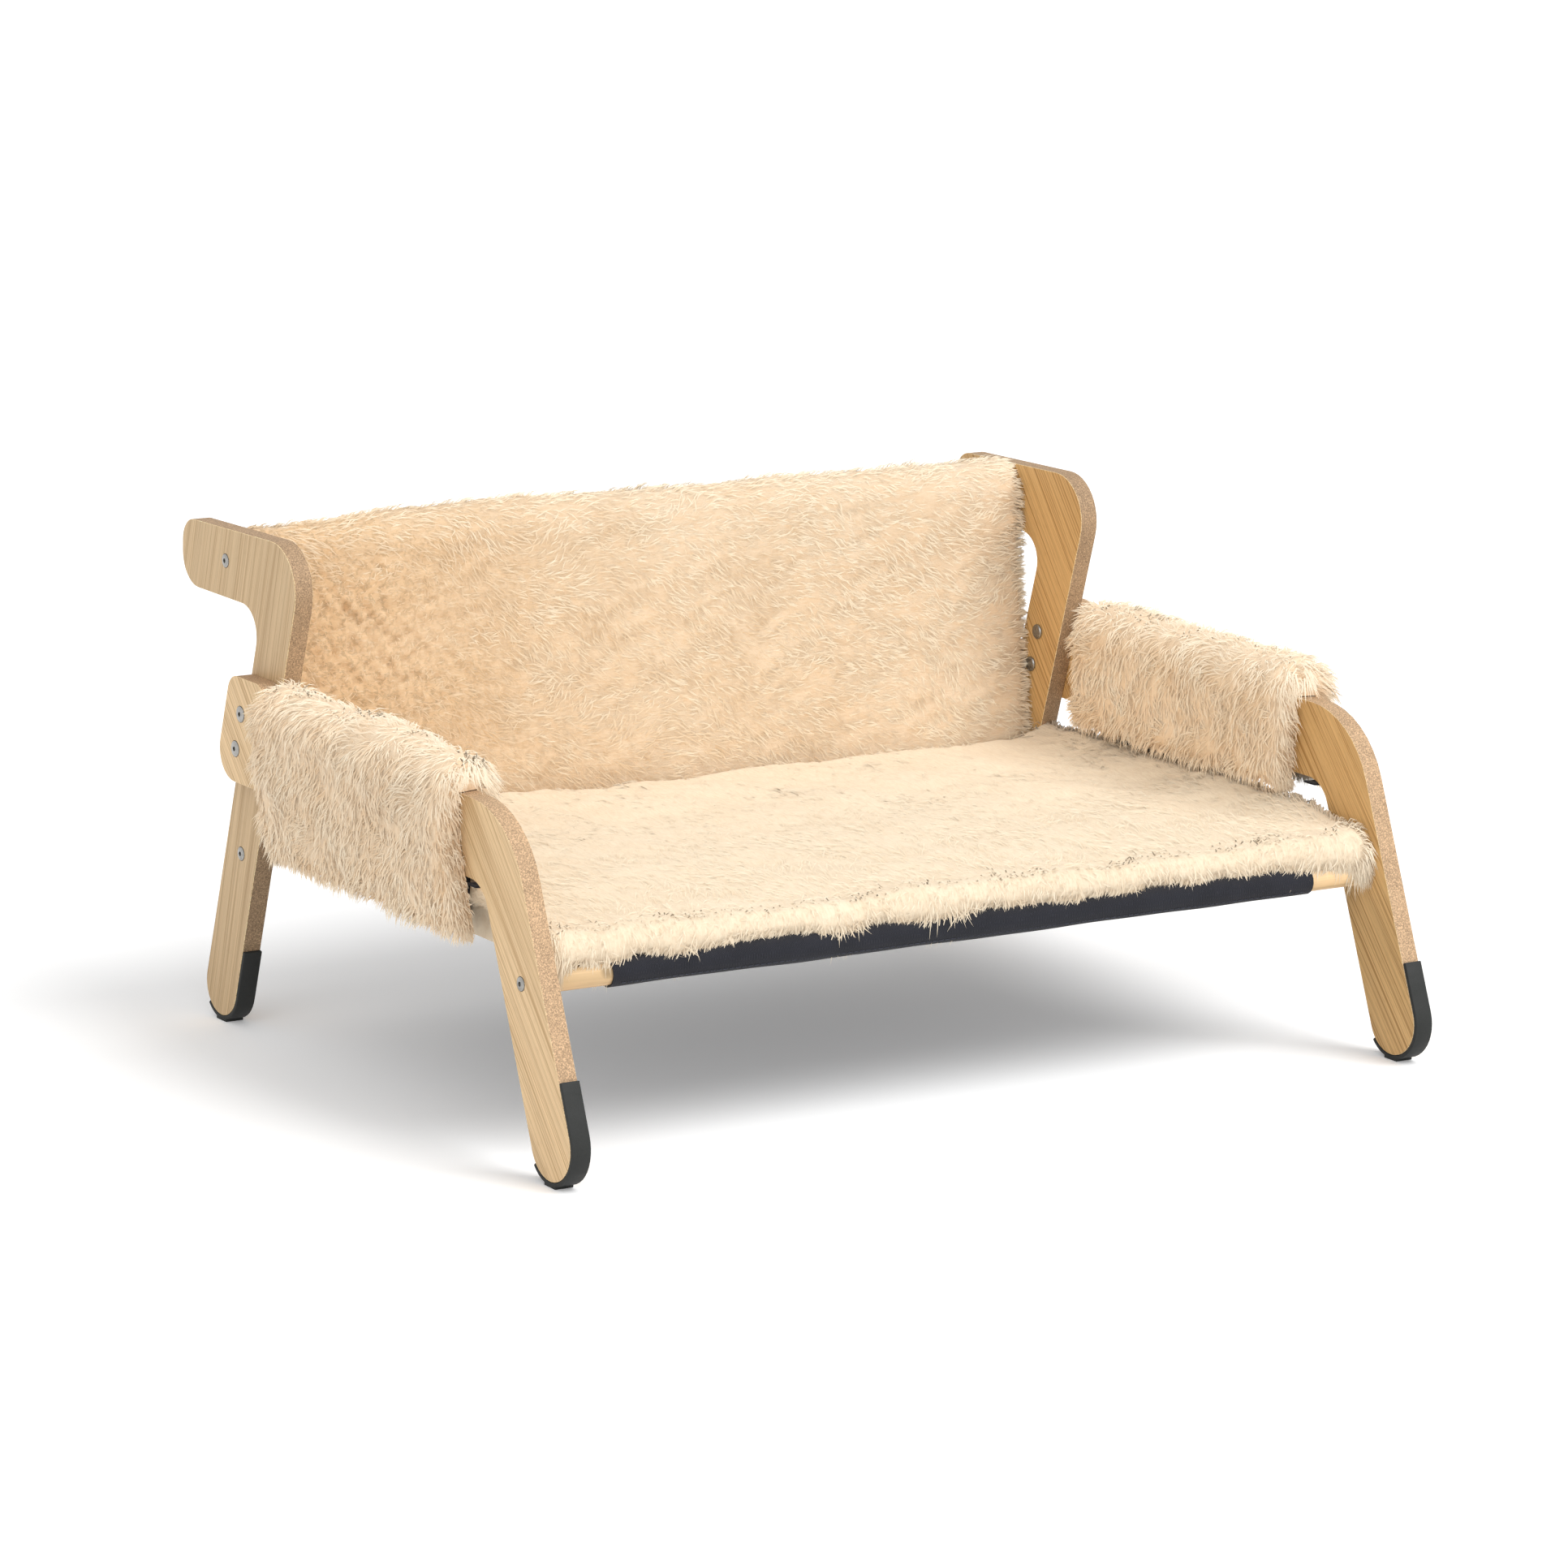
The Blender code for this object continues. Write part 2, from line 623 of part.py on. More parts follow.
def seat_pile(lounger, looks):
    """Pile on the seat: flat below, crowned above, with a nose over the front sleeve."""
    half = ARM_INNER - SEAT_PILE_MARGIN
    front = FRONT_RAIL.x - SEAT_NOSE
    rear = along(BACK_FRONT_EDGE, BACK_DOWN, SEAT_TOP + SEAT_PILE + SEAT_CROWN).x - SEAT_PILE_MARGIN
    base = SEAT_TOP + FIT
    rings = []
    for x, share in stations(half, SEAT_PILE):
        thick = end_thickness(SEAT_PILE, share)
        crown = SEAT_CROWN * (1 - (x / half) ** 2)
        lap = (1 - share) * SEAT_PILE * PILE_LAP
        span = rear - front - 2 * lap
        lip = base + thick * PILE_END
        ring = [(x, front + lap, base), (x, rear - lap, base), (x, rear - lap, lip)]
        for i in range(CROWN_STEPS + 1):
            across = 1 - CROWN_INSET - (1 - 2 * CROWN_INSET) * i / CROWN_STEPS
            off_middle = abs(2 * across - 1)
            fall = PILE_EDGE_FALL * off_middle ** PILE_SQUARENESS
            swell = thick * (1 - fall) + crown * (1 - off_middle ** 2)
            ring.append((x, front + lap + span * across, base + swell))
        ring.append((x, front + lap, lip))
        rings.append(ring)
    lounger.loft("seat_pile", rings, looks["pile"])


def back_pile(lounger, looks):
    """Pile on the backrest: up the front of the back cloth, over the top sleeve, a little way down."""
    up = BACK_UP
    forward = BACK_FORWARD
    length = (TOP_RAIL - REAR_RAIL).length
    skin = SLEEVE + FIT
    half = BACK_INNER - NUT_FLANGE_HEIGHT - 3 * FIT
    foot = SEAT_TOP - REAR_RAIL.y + 2 * FIT
    turns = [-i * BACK_ROLL_STEP for i in range(1, 9)]
    rings = []
    for x, share in stations(half, BACK_PILE):
        thick = end_thickness(BACK_PILE, share)
        rear_thick = end_thickness(BACK_PILE_REAR, share)
        inner = [(foot, skin), (length, skin)]
        ring = [REAR_RAIL + up * rise + forward * out for rise, out in inner]
        clear = skin / math.cos(BACK_ROLL_STEP / 2)
        ring += [TOP_RAIL + clear * unit(BACK_FACING + turn) for turn in turns]
        drop = TOP_RAIL - up * BACK_PILE_DROP
        ring.append(drop - forward * skin)
        ring.append(drop - forward * (skin + rear_thick * PILE_LIP))
        for turn in reversed(turns):
            depth = rear_thick + (thick - rear_thick) * (1 + math.cos(turn)) / 2
            ring.append(TOP_RAIL + (skin + depth) * unit(BACK_FACING + turn))
        for i in range(BACK_STEPS + 1):
            rise = foot + (length - foot) * (1 - i / BACK_STEPS)
            swell = thick * (1.0 + BACK_FULLNESS * math.sin(math.pi * i / BACK_STEPS))
            if i == BACK_STEPS:
                swell *= BACK_HEEL
            ring.append(REAR_RAIL + up * rise + forward * (skin + swell))
        rings.append([(x, point.x, point.y) for point in ring])
    lounger.loft("back_pile", rings, looks["pile"])


def cover_section(inner_gap, thick, bulge, outer_drop, inner_drop):
    """Half-open sleeve over an arm board, seen from the front: (distance inboard, height) points."""
    top = ARM_TOP + inner_gap
    outer_low = ARM_UNDER - outer_drop
    inner_low = ARM_UNDER - inner_drop
    inside = [(-inner_gap, outer_low), (-inner_gap, top), (BOARD + inner_gap, top), (BOARD + inner_gap, inner_low)]
    full = thick + bulge
    centre = BOARD / 2
    half = BOARD / 2 + inner_gap
    turns = [i * math.pi / COVER_STEPS for i in range(COVER_STEPS + 1)]
    over = [(centre + (half + thick) * math.cos(turn), top + thick * math.sin(turn)) for turn in turns]
    middle_in = (top + inner_low) / 2
    middle_out = (top + outer_low) / 2
    outside = [
        (BOARD + inner_gap + thick * PILE_LIP, inner_low),
        (BOARD + inner_gap + full, middle_in),
    ]
    outside += over
    outside += [(-inner_gap - full, middle_out), (-inner_gap - thick * PILE_LIP, outer_low)]
    return inside + outside


def cover_place(side, inboard, place, height):
    """Point of an arm cover, place being its distance from the cover's middle towards the rear.

    Below the middle of the arm the outer flap swings forward; the inner flap's front is set back.
    """
    y = COVER_FRONT + COVER_LENGTH / 2 + place
    outboard = 1 - min(1.0, max(0.0, inboard / BOARD))
    y -= outboard * COVER_SWING * max(0.0, (ARM_TOP + ARM_UNDER) / 2 - height)
    y += (1 - outboard) * INNER_SETBACK * (0.5 - place / COVER_LENGTH)
    return (side * (ARM_OUTER - inboard), y, height)


def arm_covers(lounger, looks):
    """Pile sleeve, its canvas lining and the short strap that joins the two flaps under the arm."""
    lining_gap = FIT
    half = COVER_LENGTH / 2
    for side, word in ((-1, "left"), (1, "right")):
        rings = []
        for place, share in stations(half, ARM_PILE * COVER_RUN):
            thick = end_thickness(ARM_PILE, share)
            bulge = ARM_SWELL * (1 - (place / half) ** 2)
            section = cover_section(PILE_GAP, thick, bulge, OUTER_FLAP, INNER_FLAP)
            rings.append([cover_place(side, inboard, place, height) for inboard, height in section])
        lounger.loft("arm_pile_" + word, rings, looks["pile"])
        rings = []
        for place in (LINING_SETBACK - half, half - LINING_SETBACK):
            top = ARM_TOP + lining_gap
            outer_low = ARM_UNDER - OUTER_FLAP + LINING_SETBACK
            inner_low = ARM_UNDER - INNER_FLAP + LINING_SETBACK / 2
            mid = (ARM_TOP + ARM_UNDER) / 2
            section = [
                (-lining_gap, outer_low), (-lining_gap, mid), (-lining_gap, top),
                (BOARD + lining_gap, top), (BOARD + lining_gap, mid), (BOARD + lining_gap, inner_low),
                (BOARD + lining_gap + CLOTH, inner_low), (BOARD + lining_gap + CLOTH, mid),
                (BOARD + lining_gap + CLOTH, top + CLOTH), (-lining_gap - CLOTH, top + CLOTH),
                (-lining_gap - CLOTH, mid), (-lining_gap - CLOTH, outer_low),
            ]
            rings.append([cover_place(side, inboard, place, height) for inboard, height in section])
        lounger.loft("arm_lining_" + word, rings, looks["canvas"])
        high = ARM_UNDER - STRAP_DROP
        rear = STRAP_FRONT + STRAP_WIDTH
        corners = [(STRAP_FRONT, high - STRAP), (rear, high - STRAP), (rear, high), (STRAP_FRONT, high)]
        strap = rounded([(Vector(corner), STRAP / 3) for corner in corners])
        low_x, high_x = sorted((side * (ARM_OUTER + lining_gap - FIT), side * (ARM_INNER - lining_gap + FIT)))
        lounger.slab("arm_strap_" + word, [strap], low_x, high_x, looks["canvas"])


def build():
    clear_scene()
    lounger = Lounger()
    looks = {
        "oak": material("oak_veneer_board", (0.60, 0.43, 0.24), 0.5),
        "pine": material("pine_dowel", (0.72, 0.49, 0.27), 0.5),
        "rubber": material("grey_rubber", (0.035, 0.04, 0.04), 0.75),
        "nickel": material("nickel_plate", (0.62, 0.60, 0.57), 0.3, 1.0),
        "brass": material("yellow_zinc", (0.60, 0.47, 0.24), 0.35, 1.0),
        "canvas": material("navy_canvas", (0.016, 0.019, 0.032), 0.9),
        "pile": material("cream_pile", (0.80, 0.66, 0.48), 0.95),
    }
    made = boards(lounger, looks)
    rails(lounger, looks)
    rail_fixings(lounger, looks, made)
    block_fixings(lounger, looks, made)
    foot_pads(lounger, looks)
    seat_canvas(lounger, looks)
    back_canvas(lounger, looks)
    seat_pile(lounger, looks)
    back_pile(lounger, looks)
    arm_covers(lounger, looks)


build()
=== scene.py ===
"""Pet lounger in its finished look: veneered boards, round rails, canvas sling and long cream pile."""
import math

import bmesh
import bpy
import numpy as np
from mathutils import Matrix, Vector


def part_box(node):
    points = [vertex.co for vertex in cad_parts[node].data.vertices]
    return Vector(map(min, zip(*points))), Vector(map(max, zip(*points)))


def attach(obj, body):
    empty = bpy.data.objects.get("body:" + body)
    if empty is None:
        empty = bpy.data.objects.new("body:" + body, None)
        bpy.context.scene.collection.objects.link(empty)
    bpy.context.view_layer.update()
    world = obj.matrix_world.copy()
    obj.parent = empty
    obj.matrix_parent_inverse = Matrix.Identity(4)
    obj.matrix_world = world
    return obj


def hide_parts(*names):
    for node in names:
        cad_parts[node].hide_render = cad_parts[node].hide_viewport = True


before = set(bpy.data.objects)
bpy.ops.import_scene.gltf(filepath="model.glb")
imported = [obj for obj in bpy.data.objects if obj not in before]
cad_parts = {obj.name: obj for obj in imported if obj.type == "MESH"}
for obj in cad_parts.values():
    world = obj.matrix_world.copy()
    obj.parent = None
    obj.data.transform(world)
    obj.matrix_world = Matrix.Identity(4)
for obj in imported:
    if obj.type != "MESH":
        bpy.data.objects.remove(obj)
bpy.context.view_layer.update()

bl_info = {
    "name": "Pet Lounger",
    "version": (1, 0, 0),
    "blender": (4, 5, 0),
    "location": "View3D > Sidebar > Lounger",
    "description": "Dresses a low wooden pet lounger in veneer, canvas and long pile",
    "category": "Object",
}

SIDES = (("left", -1), ("right", 1))
WELD = 0.00002
SEED = 411


def rail(node):
    """Middle of a rail as (y, z), and its radius."""
    low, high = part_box(node)
    return Vector(((low.y + high.y) / 2, (low.z + high.z) / 2)), (high.z - low.z) / 2


# Places taken from the frame
FRONT_RAIL, RAIL_RADIUS = rail("front_rail")
REAR_RAIL = rail("rear_seat_rail")[0]
TOP_RAIL = rail("top_rail")[0]
ARM_LOW, ARM_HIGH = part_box("arm_board_right")
ARM_INNER, ARM_OUTER = ARM_LOW.x, ARM_HIGH.x
ARM_WIDTH = ARM_OUTER - ARM_INNER

# Arms and their covers along y and z; the trim leaves room for the strands at the front
ARM_TOP = 0.202
ARM_UNDER = 0.156
COVER_FRONT = -0.1342
COVER_REAR = 0.1058
COVER_LENGTH = COVER_REAR - COVER_FRONT
COVER_SWING = 0.35
INNER_SETBACK = 0.003
COVER_TRIM = 0.0210

# Cloth round the rails: half width of the sleeves, gap inside them and depth to their outside
SLEEVE_HALF = 0.2435
CLOTH_GAP = 0.0004
CLOTH_DEPTH = 0.0016

# Pile: half widths, rounded rim, spacing of the tufts, depth of the roots, and how its shading leans
SEAT_HALF = 0.2850
BACK_HALF = 0.2735
RIM_WIDTH = 0.014
TUFT_PITCH = 0.0065
ROOT_DEPTH = 0.001
LIT_FROM = np.array((0.0, -0.4, 0.12))

# Strands: the map that holds their tints, and the most triangles in one piece of them
STRAND_MAP = "OFBake"
MOST_TRIANGLES = 190000


def colour_prop(name, description, colour):
    return bpy.props.FloatVectorProperty(
        name=name, description=description, default=colour, size=3, min=0.0, max=1.0, subtype="COLOR"
    )


def length_prop(name, description, metres):
    return bpy.props.FloatProperty(
        name=name, description=description, default=metres, min=0.0, unit="LENGTH", precision=4
    )


def count_prop(name, description, number):
    return bpy.props.IntProperty(name=name, description=description, default=number, min=100)


def angle_prop(name, description, degrees):
    return bpy.props.FloatProperty(
        name=name, description=description, default=math.radians(degrees), subtype="ANGLE"
    )


def plain_prop(name, description, number):
    return bpy.props.FloatProperty(name=name, description=description, default=number, min=0.0)


class LoungerSizes(bpy.types.PropertyGroup):
    """Sizes of the soft goods."""

    pile_width: length_prop("Strand width", "Width of a long lock at its root", 0.0011)
    under_width: length_prop("Under-pile width", "Width of the short straight strands", 0.0005)
    seat_length: length_prop("Seat pile", "Length of the long strands on the seat", 0.0125)
    back_length: length_prop("Back pile", "Length of the long strands on the back", 0.012)
    arm_length: length_prop("Arm pile", "Length of the long strands on the arms", 0.014)
    seat_body: length_prop("Seat body", "Depth of the seat pile's dense body", 0.0160)
    back_body: length_prop("Back body", "Depth of the back pile's dense body", 0.0120)
    arm_body: length_prop("Arm body", "Depth of the arm pile's dense body", 0.0120)
    cloth: length_prop("Canvas", "Thickness of the canvas", 0.0009)
    seat_count: count_prop("Seat strands", "Long strands on the seat", 16000)
    back_count: count_prop("Back strands", "Long strands on the back", 13000)
    arm_count: count_prop("Arm strands", "Long strands on each arm", 8500)
    seat_under: plain_prop("Seat under-pile", "Short strands on the seat for each long one", 3.0)
    back_under: plain_prop("Back under-pile", "Short strands on the back for each long one", 4.0)
    arm_under: plain_prop("Arm under-pile", "Short strands on the arms for each long one", 1.6)


class LoungerColours(bpy.types.PropertyGroup):
    """Colours of the materials."""

    veneer: colour_prop("Veneer", "Pale face of the boards", (0.78, 0.555, 0.31))
    veneer_inner: colour_prop("Inner veneer", "Golden inner face of the boards", (0.66, 0.41, 0.168))
    board_edge: colour_prop("Board edge", "Sawn fibreboard edge", (0.50, 0.335, 0.20))
    pine: colour_prop("Pine", "Round rails", (0.84, 0.585, 0.32))
    rubber: colour_prop("Rubber", "Foot strips", (0.0145, 0.0155, 0.0145))
    canvas: colour_prop("Canvas", "Sling cloth and linings", (0.0115, 0.0120, 0.0165))
    nickel: colour_prop("Nickel", "Bolts and nuts", (0.36, 0.35, 0.33))
    zinc: colour_prop("Zinc", "Threaded inserts", (0.60, 0.47, 0.24))
    pile_body: colour_prop("Pile body", "Dense body under the strands", (0.87, 0.735, 0.55))
    back_body: colour_prop("Back body", "Dense body of the back's pile", (0.76, 0.60, 0.43))
    pile_cream: colour_prop("Cream pile", "Palest strands", (0.93, 0.805, 0.62))
    pile_tan: colour_prop("Tan pile", "Darkest strands", (0.73, 0.495, 0.28))
    arm_cream: colour_prop("Cream arm pile", "Palest strands on the arms", (0.97, 0.85, 0.665))
    arm_tan: colour_prop("Tan arm pile", "Darkest strands on the arms", (0.82, 0.57, 0.345))


class LoungerStage(bpy.types.PropertyGroup):
    """Camera, light and floor."""

    azimuth: angle_prop("Azimuth", "Camera's turn from the front", -33.359)
    elevation: angle_prop("Elevation", "Camera's height angle", 12.517)
    roll: angle_prop("Roll", "Camera's roll", 1.5)
    place: bpy.props.FloatVectorProperty(
        name="Place", description="Camera's place", default=(-2.10095, -3.17671, 1.00012), size=3,
        subtype="TRANSLATION", unit="LENGTH",
    )
    lens: plain_prop("Lens", "Focal length in millimetres", 149.766)
    ambient: plain_prop("Ambient", "Strength of the light from all round", 0.57)
    key: plain_prop("Key", "Strength of the main lamp", 1.9)
    fill: plain_prop("Fill", "Strength of the front fill", 1.15)


def settings():
    scene = bpy.context.scene
    return scene.lounger_sizes, scene.lounger_colours, scene.lounger_stage


# Material building


class Nodes:
    """The node tree of a material, or of the world, with short ways to add and join nodes."""

    def __init__(self, name, owner=None):
        self.owner = owner or bpy.data.materials.new(name)
        self.owner.use_nodes = True
        self.tree = self.owner.node_tree
        self.shader = self.tree.nodes.get("Principled BSDF")

    def feed(self, node, socket, value):
        """Give a socket a number, a colour or another node's output."""
        if isinstance(value, bpy.types.NodeSocket):
            self.tree.links.new(value, node.inputs[socket])
        else:
            node.inputs[socket].default_value = value

    def add(self, kind, inputs, **values):
        """A new node with its inputs fed and its other values set."""
        node = self.tree.nodes.new(kind)
        for key, value in values.items():
            setattr(node, key, value)
        for socket, value in inputs.items():
            self.feed(node, socket, value)
        return node

    def place(self, scale=(1, 1, 1), turn=(0, 0, 0), source=None):
        """Object coordinates, or the source's, stretched and turned."""
        if source is None:
            source = self.add("ShaderNodeTexCoord", {}).outputs["Object"]
        inputs = {"Vector": source, "Rotation": turn, "Scale": scale}
        return self.add("ShaderNodeMapping", inputs).outputs["Vector"]

    def noise(self, vector, scale, detail=3.0, roughness=0.5, distortion=0.0):
        inputs = {"Vector": vector, "Scale": scale, "Detail": detail}
        inputs |= {"Roughness": roughness, "Distortion": distortion}
        return self.add("ShaderNodeTexNoise", inputs).outputs["Fac"]

    def grain(self, source, stretch, detail=2.0, roughness=0.6, distortion=0.0):
        """Noise drawn out by the given factors."""
        return self.noise(self.place(scale=stretch, source=source), 1.0, detail, roughness, distortion)

    def parts(self, source):
        """The three parts of a vector."""
        return self.add("ShaderNodeSeparateXYZ", {"Vector": source}).outputs

    def span(self, value, low, high, to_low=0.0, to_high=1.0):
        inputs = {"Value": value, "From Min": low, "From Max": high, "To Min": to_low, "To Max": to_high}
        return self.add("ShaderNodeMapRange", inputs).outputs["Result"]

    def math(self, operation, first, second=0.0):
        return self.add("ShaderNodeMath", {0: first, 1: second}, operation=operation).outputs["Value"]

    def mix(self, factor, first, second):
        """One colour, or a colour output, over another."""
        first, second = (
            value if isinstance(value, bpy.types.NodeSocket) else (*value, 1.0) for value in (first, second)
        )
        colour_a, colour_b, colour_out = 6, 7, 2
        inputs = {"Factor": factor, colour_a: first, colour_b: second}
        return self.add("ShaderNodeMix", inputs, data_type="RGBA").outputs[colour_out]

    def stain(self, tone, mask, low, high, strength, colour):
        """Lay a colour over the tone, as strongly as the mask has run from low to high."""
        return self.mix(self.span(mask, low, high, 0.0, strength), tone, colour)

    def seen(self):
        """1 for a ray that shows the background: from the camera, off gloss or through something clear."""
        rays = self.add("ShaderNodeLightPath", {}).outputs
        either = self.math("MAXIMUM", rays["Is Camera Ray"], rays["Is Glossy Ray"])
        return self.math("MAXIMUM", either, rays["Is Transmission Ray"])

    def bump(self, height, strength, distance):
        node = self.add("ShaderNodeBump", {"Strength": strength, "Distance": distance, "Height": height})
        self.feed(self.shader, "Normal", node.outputs["Normal"])

    def sheen(self, weight, roughness=0.5):
        self.feed(self.shader, "Sheen Weight", weight)
        self.feed(self.shader, "Sheen Roughness", roughness)

    def finish(self, colour, roughness, metallic=0.0, specular=0.5):
        self.feed(self.shader, "Base Color", colour)
        self.feed(self.shader, "Roughness", roughness)
        self.feed(self.shader, "Metallic", metallic)
        self.feed(self.shader, "Specular IOR Level", specular)
        return self.owner


def scaled(colour, factor):
    return tuple(min(1.0, channel * factor) for channel in colour)


def between(first, second):
    return tuple((a + b) / 2 for a, b in zip(first, second))


def veneer_material(name, colour, grain_angle, contrast):
    """Rift-cut veneer: fine dark lines along the grain, broad soft bands and short pores."""
    nodes = Nodes(name)
    turned = nodes.place(turn=(-grain_angle, 0, 0))
    lines = nodes.grain(turned, (1, 5, 950), roughness=0.55, distortion=0.15)
    hairs = nodes.grain(turned, (1, 12, 2300), roughness=0.5)
    bands = nodes.grain(turned, (1, 2.5, 210), roughness=0.5, distortion=0.3)
    pores = nodes.grain(turned, (1, 140, 2200), roughness=0.5)
    dark = tuple(channel * factor for channel, factor in zip(colour, (0.58, 0.48, 0.36)))
    tone = nodes.mix(nodes.span(bands, 0.3, 0.7), scaled(colour, 0.94), scaled(colour, 1.06))
    tone = nodes.stain(tone, lines, 0.46, 0.36, 0.5, scaled(colour, 1.18))
    tone = nodes.stain(tone, lines, 0.52, 0.64, contrast, dark)
    tone = nodes.stain(tone, hairs, 0.54, 0.68, contrast * 0.6, dark)
    tone = nodes.stain(tone, pores, 0.60, 0.72, contrast * 0.5, dark)
    nodes.bump(nodes.math("ADD", lines, pores), 0.25, 0.00015)
    return nodes.finish(tone, nodes.span(lines, 0.3, 0.7, 0.42, 0.55), specular=0.4)


def edge_material(name, colour):
    """Sawn and sanded fibreboard: even tan with fine pale and dark fibres."""
    nodes = Nodes(name)
    here = nodes.place()
    fine = nodes.noise(here, 1150.0, 2.0, 0.7)
    broad = nodes.noise(here, 60.0, 3.0, 0.6)
    tone = nodes.mix(nodes.span(broad, 0.3, 0.7), scaled(colour, 0.90), scaled(colour, 1.08))
    tone = nodes.stain(tone, fine, 0.53, 0.62, 0.8, scaled(colour, 1.6))
    tone = nodes.stain(tone, fine, 0.47, 0.38, 0.7, scaled(colour, 0.5))
    nodes.bump(fine, 0.35, 0.0002)
    return nodes.finish(tone, 0.72, specular=0.3)


def pine_material(name, colour):
    """Turned pine with the grain along X, wavy growth bands and one knot."""
    nodes = Nodes(name)
    here = nodes.place()
    bands = nodes.grain(here, (4, 190, 190), roughness=0.5, distortion=0.6)
    fibres = nodes.grain(here, (30, 1500, 1500))
    centre = (-0.2475, FRONT_RAIL.x - 0.006, FRONT_RAIL.y + 0.003)
    knot = nodes.add("ShaderNodeVectorMath", {0: here, 1: centre}, operation="DISTANCE")
    ring = nodes.span(knot.outputs["Value"], 0.0022, 0.0055, 1.0, 0.0)
    tone = nodes.mix(nodes.span(bands, 0.42, 0.62), scaled(colour, 1.06), scaled(colour, 0.78))
    tone = nodes.stain(tone, fibres, 0.55, 0.75, 0.4, scaled(colour, 0.7))
    tone = nodes.mix(nodes.math("MULTIPLY", ring, 0.8), tone, scaled(colour, 0.35))
    nodes.bump(fibres, 0.2, 0.0001)
    return nodes.finish(tone, nodes.span(bands, 0.3, 0.7, 0.45, 0.6), specular=0.4)


def rubber_material(name, colour):
    """Matt rubber with a fine skin and paler scuffs."""
    nodes = Nodes(name)
    here = nodes.place()
    fine = nodes.noise(here, 1400.0, 3.0, 0.6)
    scuffs = nodes.grain(here, (40, 40, 160), 4.0)
    tone = nodes.mix(nodes.span(scuffs, 0.4, 0.75), colour, scaled(colour, 1.7))
    tone = nodes.stain(tone, fine, 0.4, 0.7, 0.35, scaled(colour, 0.6))
    nodes.bump(fine, 0.3, 0.0002)
    return nodes.finish(tone, nodes.span(scuffs, 0.3, 0.7, 0.55, 0.78), specular=0.4)


def metal_material(name, colour, roughness):
    """Plated metal, brushed along X, with duller patches."""
    nodes = Nodes(name)
    here = nodes.place()
    brushed = nodes.grain(here, (300, 2600, 2600), 3.0)
    tarnish = nodes.noise(here, 500.0, 3.0, 0.6)
    tone = nodes.mix(nodes.span(tarnish, 0.4, 0.7), colour, scaled(colour, 0.72))
    nodes.bump(brushed, 0.2, 0.00008)
    return nodes.finish(tone, nodes.span(brushed, 0.3, 0.7, roughness * 0.8, roughness * 1.3), 1.0)


def canvas_material(name, colour, across="Y"):
    """Plain weave, warp along X and weft along the other axis, with a few pale slubs."""
    nodes = Nodes(name)
    here = nodes.place()
    split = nodes.parts(here)
    pitch = 0.0011
    warp, weft = (
        nodes.math("SINE", nodes.math("MULTIPLY", split[axis], 2 * math.pi / pitch)) for axis in ("X", across)
    )
    woven = nodes.math("MULTIPLY", warp, weft)
    slubs = nodes.grain(here, (900, 900, 900), 3.0, 0.7)
    broad = nodes.noise(here, 45.0, 3.0, 0.6)
    tone = nodes.mix(nodes.span(woven, -1.0, 1.0), scaled(colour, 0.55), scaled(colour, 1.7))
    tone = nodes.stain(tone, slubs, 0.60, 0.75, 0.5, scaled(colour, 5.0))
    tone = nodes.stain(tone, broad, 0.35, 0.7, 0.4, scaled(colour, 2.2))
    nodes.bump(woven, 0.35, 0.0002)
    nodes.sheen(0.12)
    return nodes.finish(tone, 0.88, specular=0.25)


def thread_material(name, colour):
    """Twisted sewing thread, a little paler than the canvas."""
    nodes = Nodes(name)
    twist = nodes.grain(None, (2500, 700, 700))
    tone = nodes.mix(nodes.span(twist, 0.35, 0.65), scaled(colour, 2.0), scaled(colour, 4.5))
    nodes.bump(twist, 0.3, 0.0001)
    return nodes.finish(tone, 0.75, specular=0.3)


def strand_material(name, cream, tan):
    """Strands: tan to cream by the map's U, deeper at the root and palest at the tip by its V; the U carries
    painted shade between tufts and under the long strands, and the deeper root is partly the strands' own tan
    and partly painted shade deep in the pile.
    """
    nodes = Nodes(name)
    source = nodes.add("ShaderNodeUVMap", {}, uv_map=STRAND_MAP)
    split = nodes.parts(source.outputs["UV"])
    tone = nodes.mix(split["X"], tan, cream)
    # Painted shade in part: the roots deepen to tan, the strands' own tan roots with the shade deep in the
    # pile painted over them.
    tone = nodes.stain(tone, split["Y"], 0.55, 0.0, 0.85, tan)
    tone = nodes.stain(tone, split["Y"], 0.6, 1.0, 0.4, scaled(cream, 1.04))
    nodes.sheen(0.15, 0.4)
    return nodes.finish(tone, 0.7, specular=0.2)


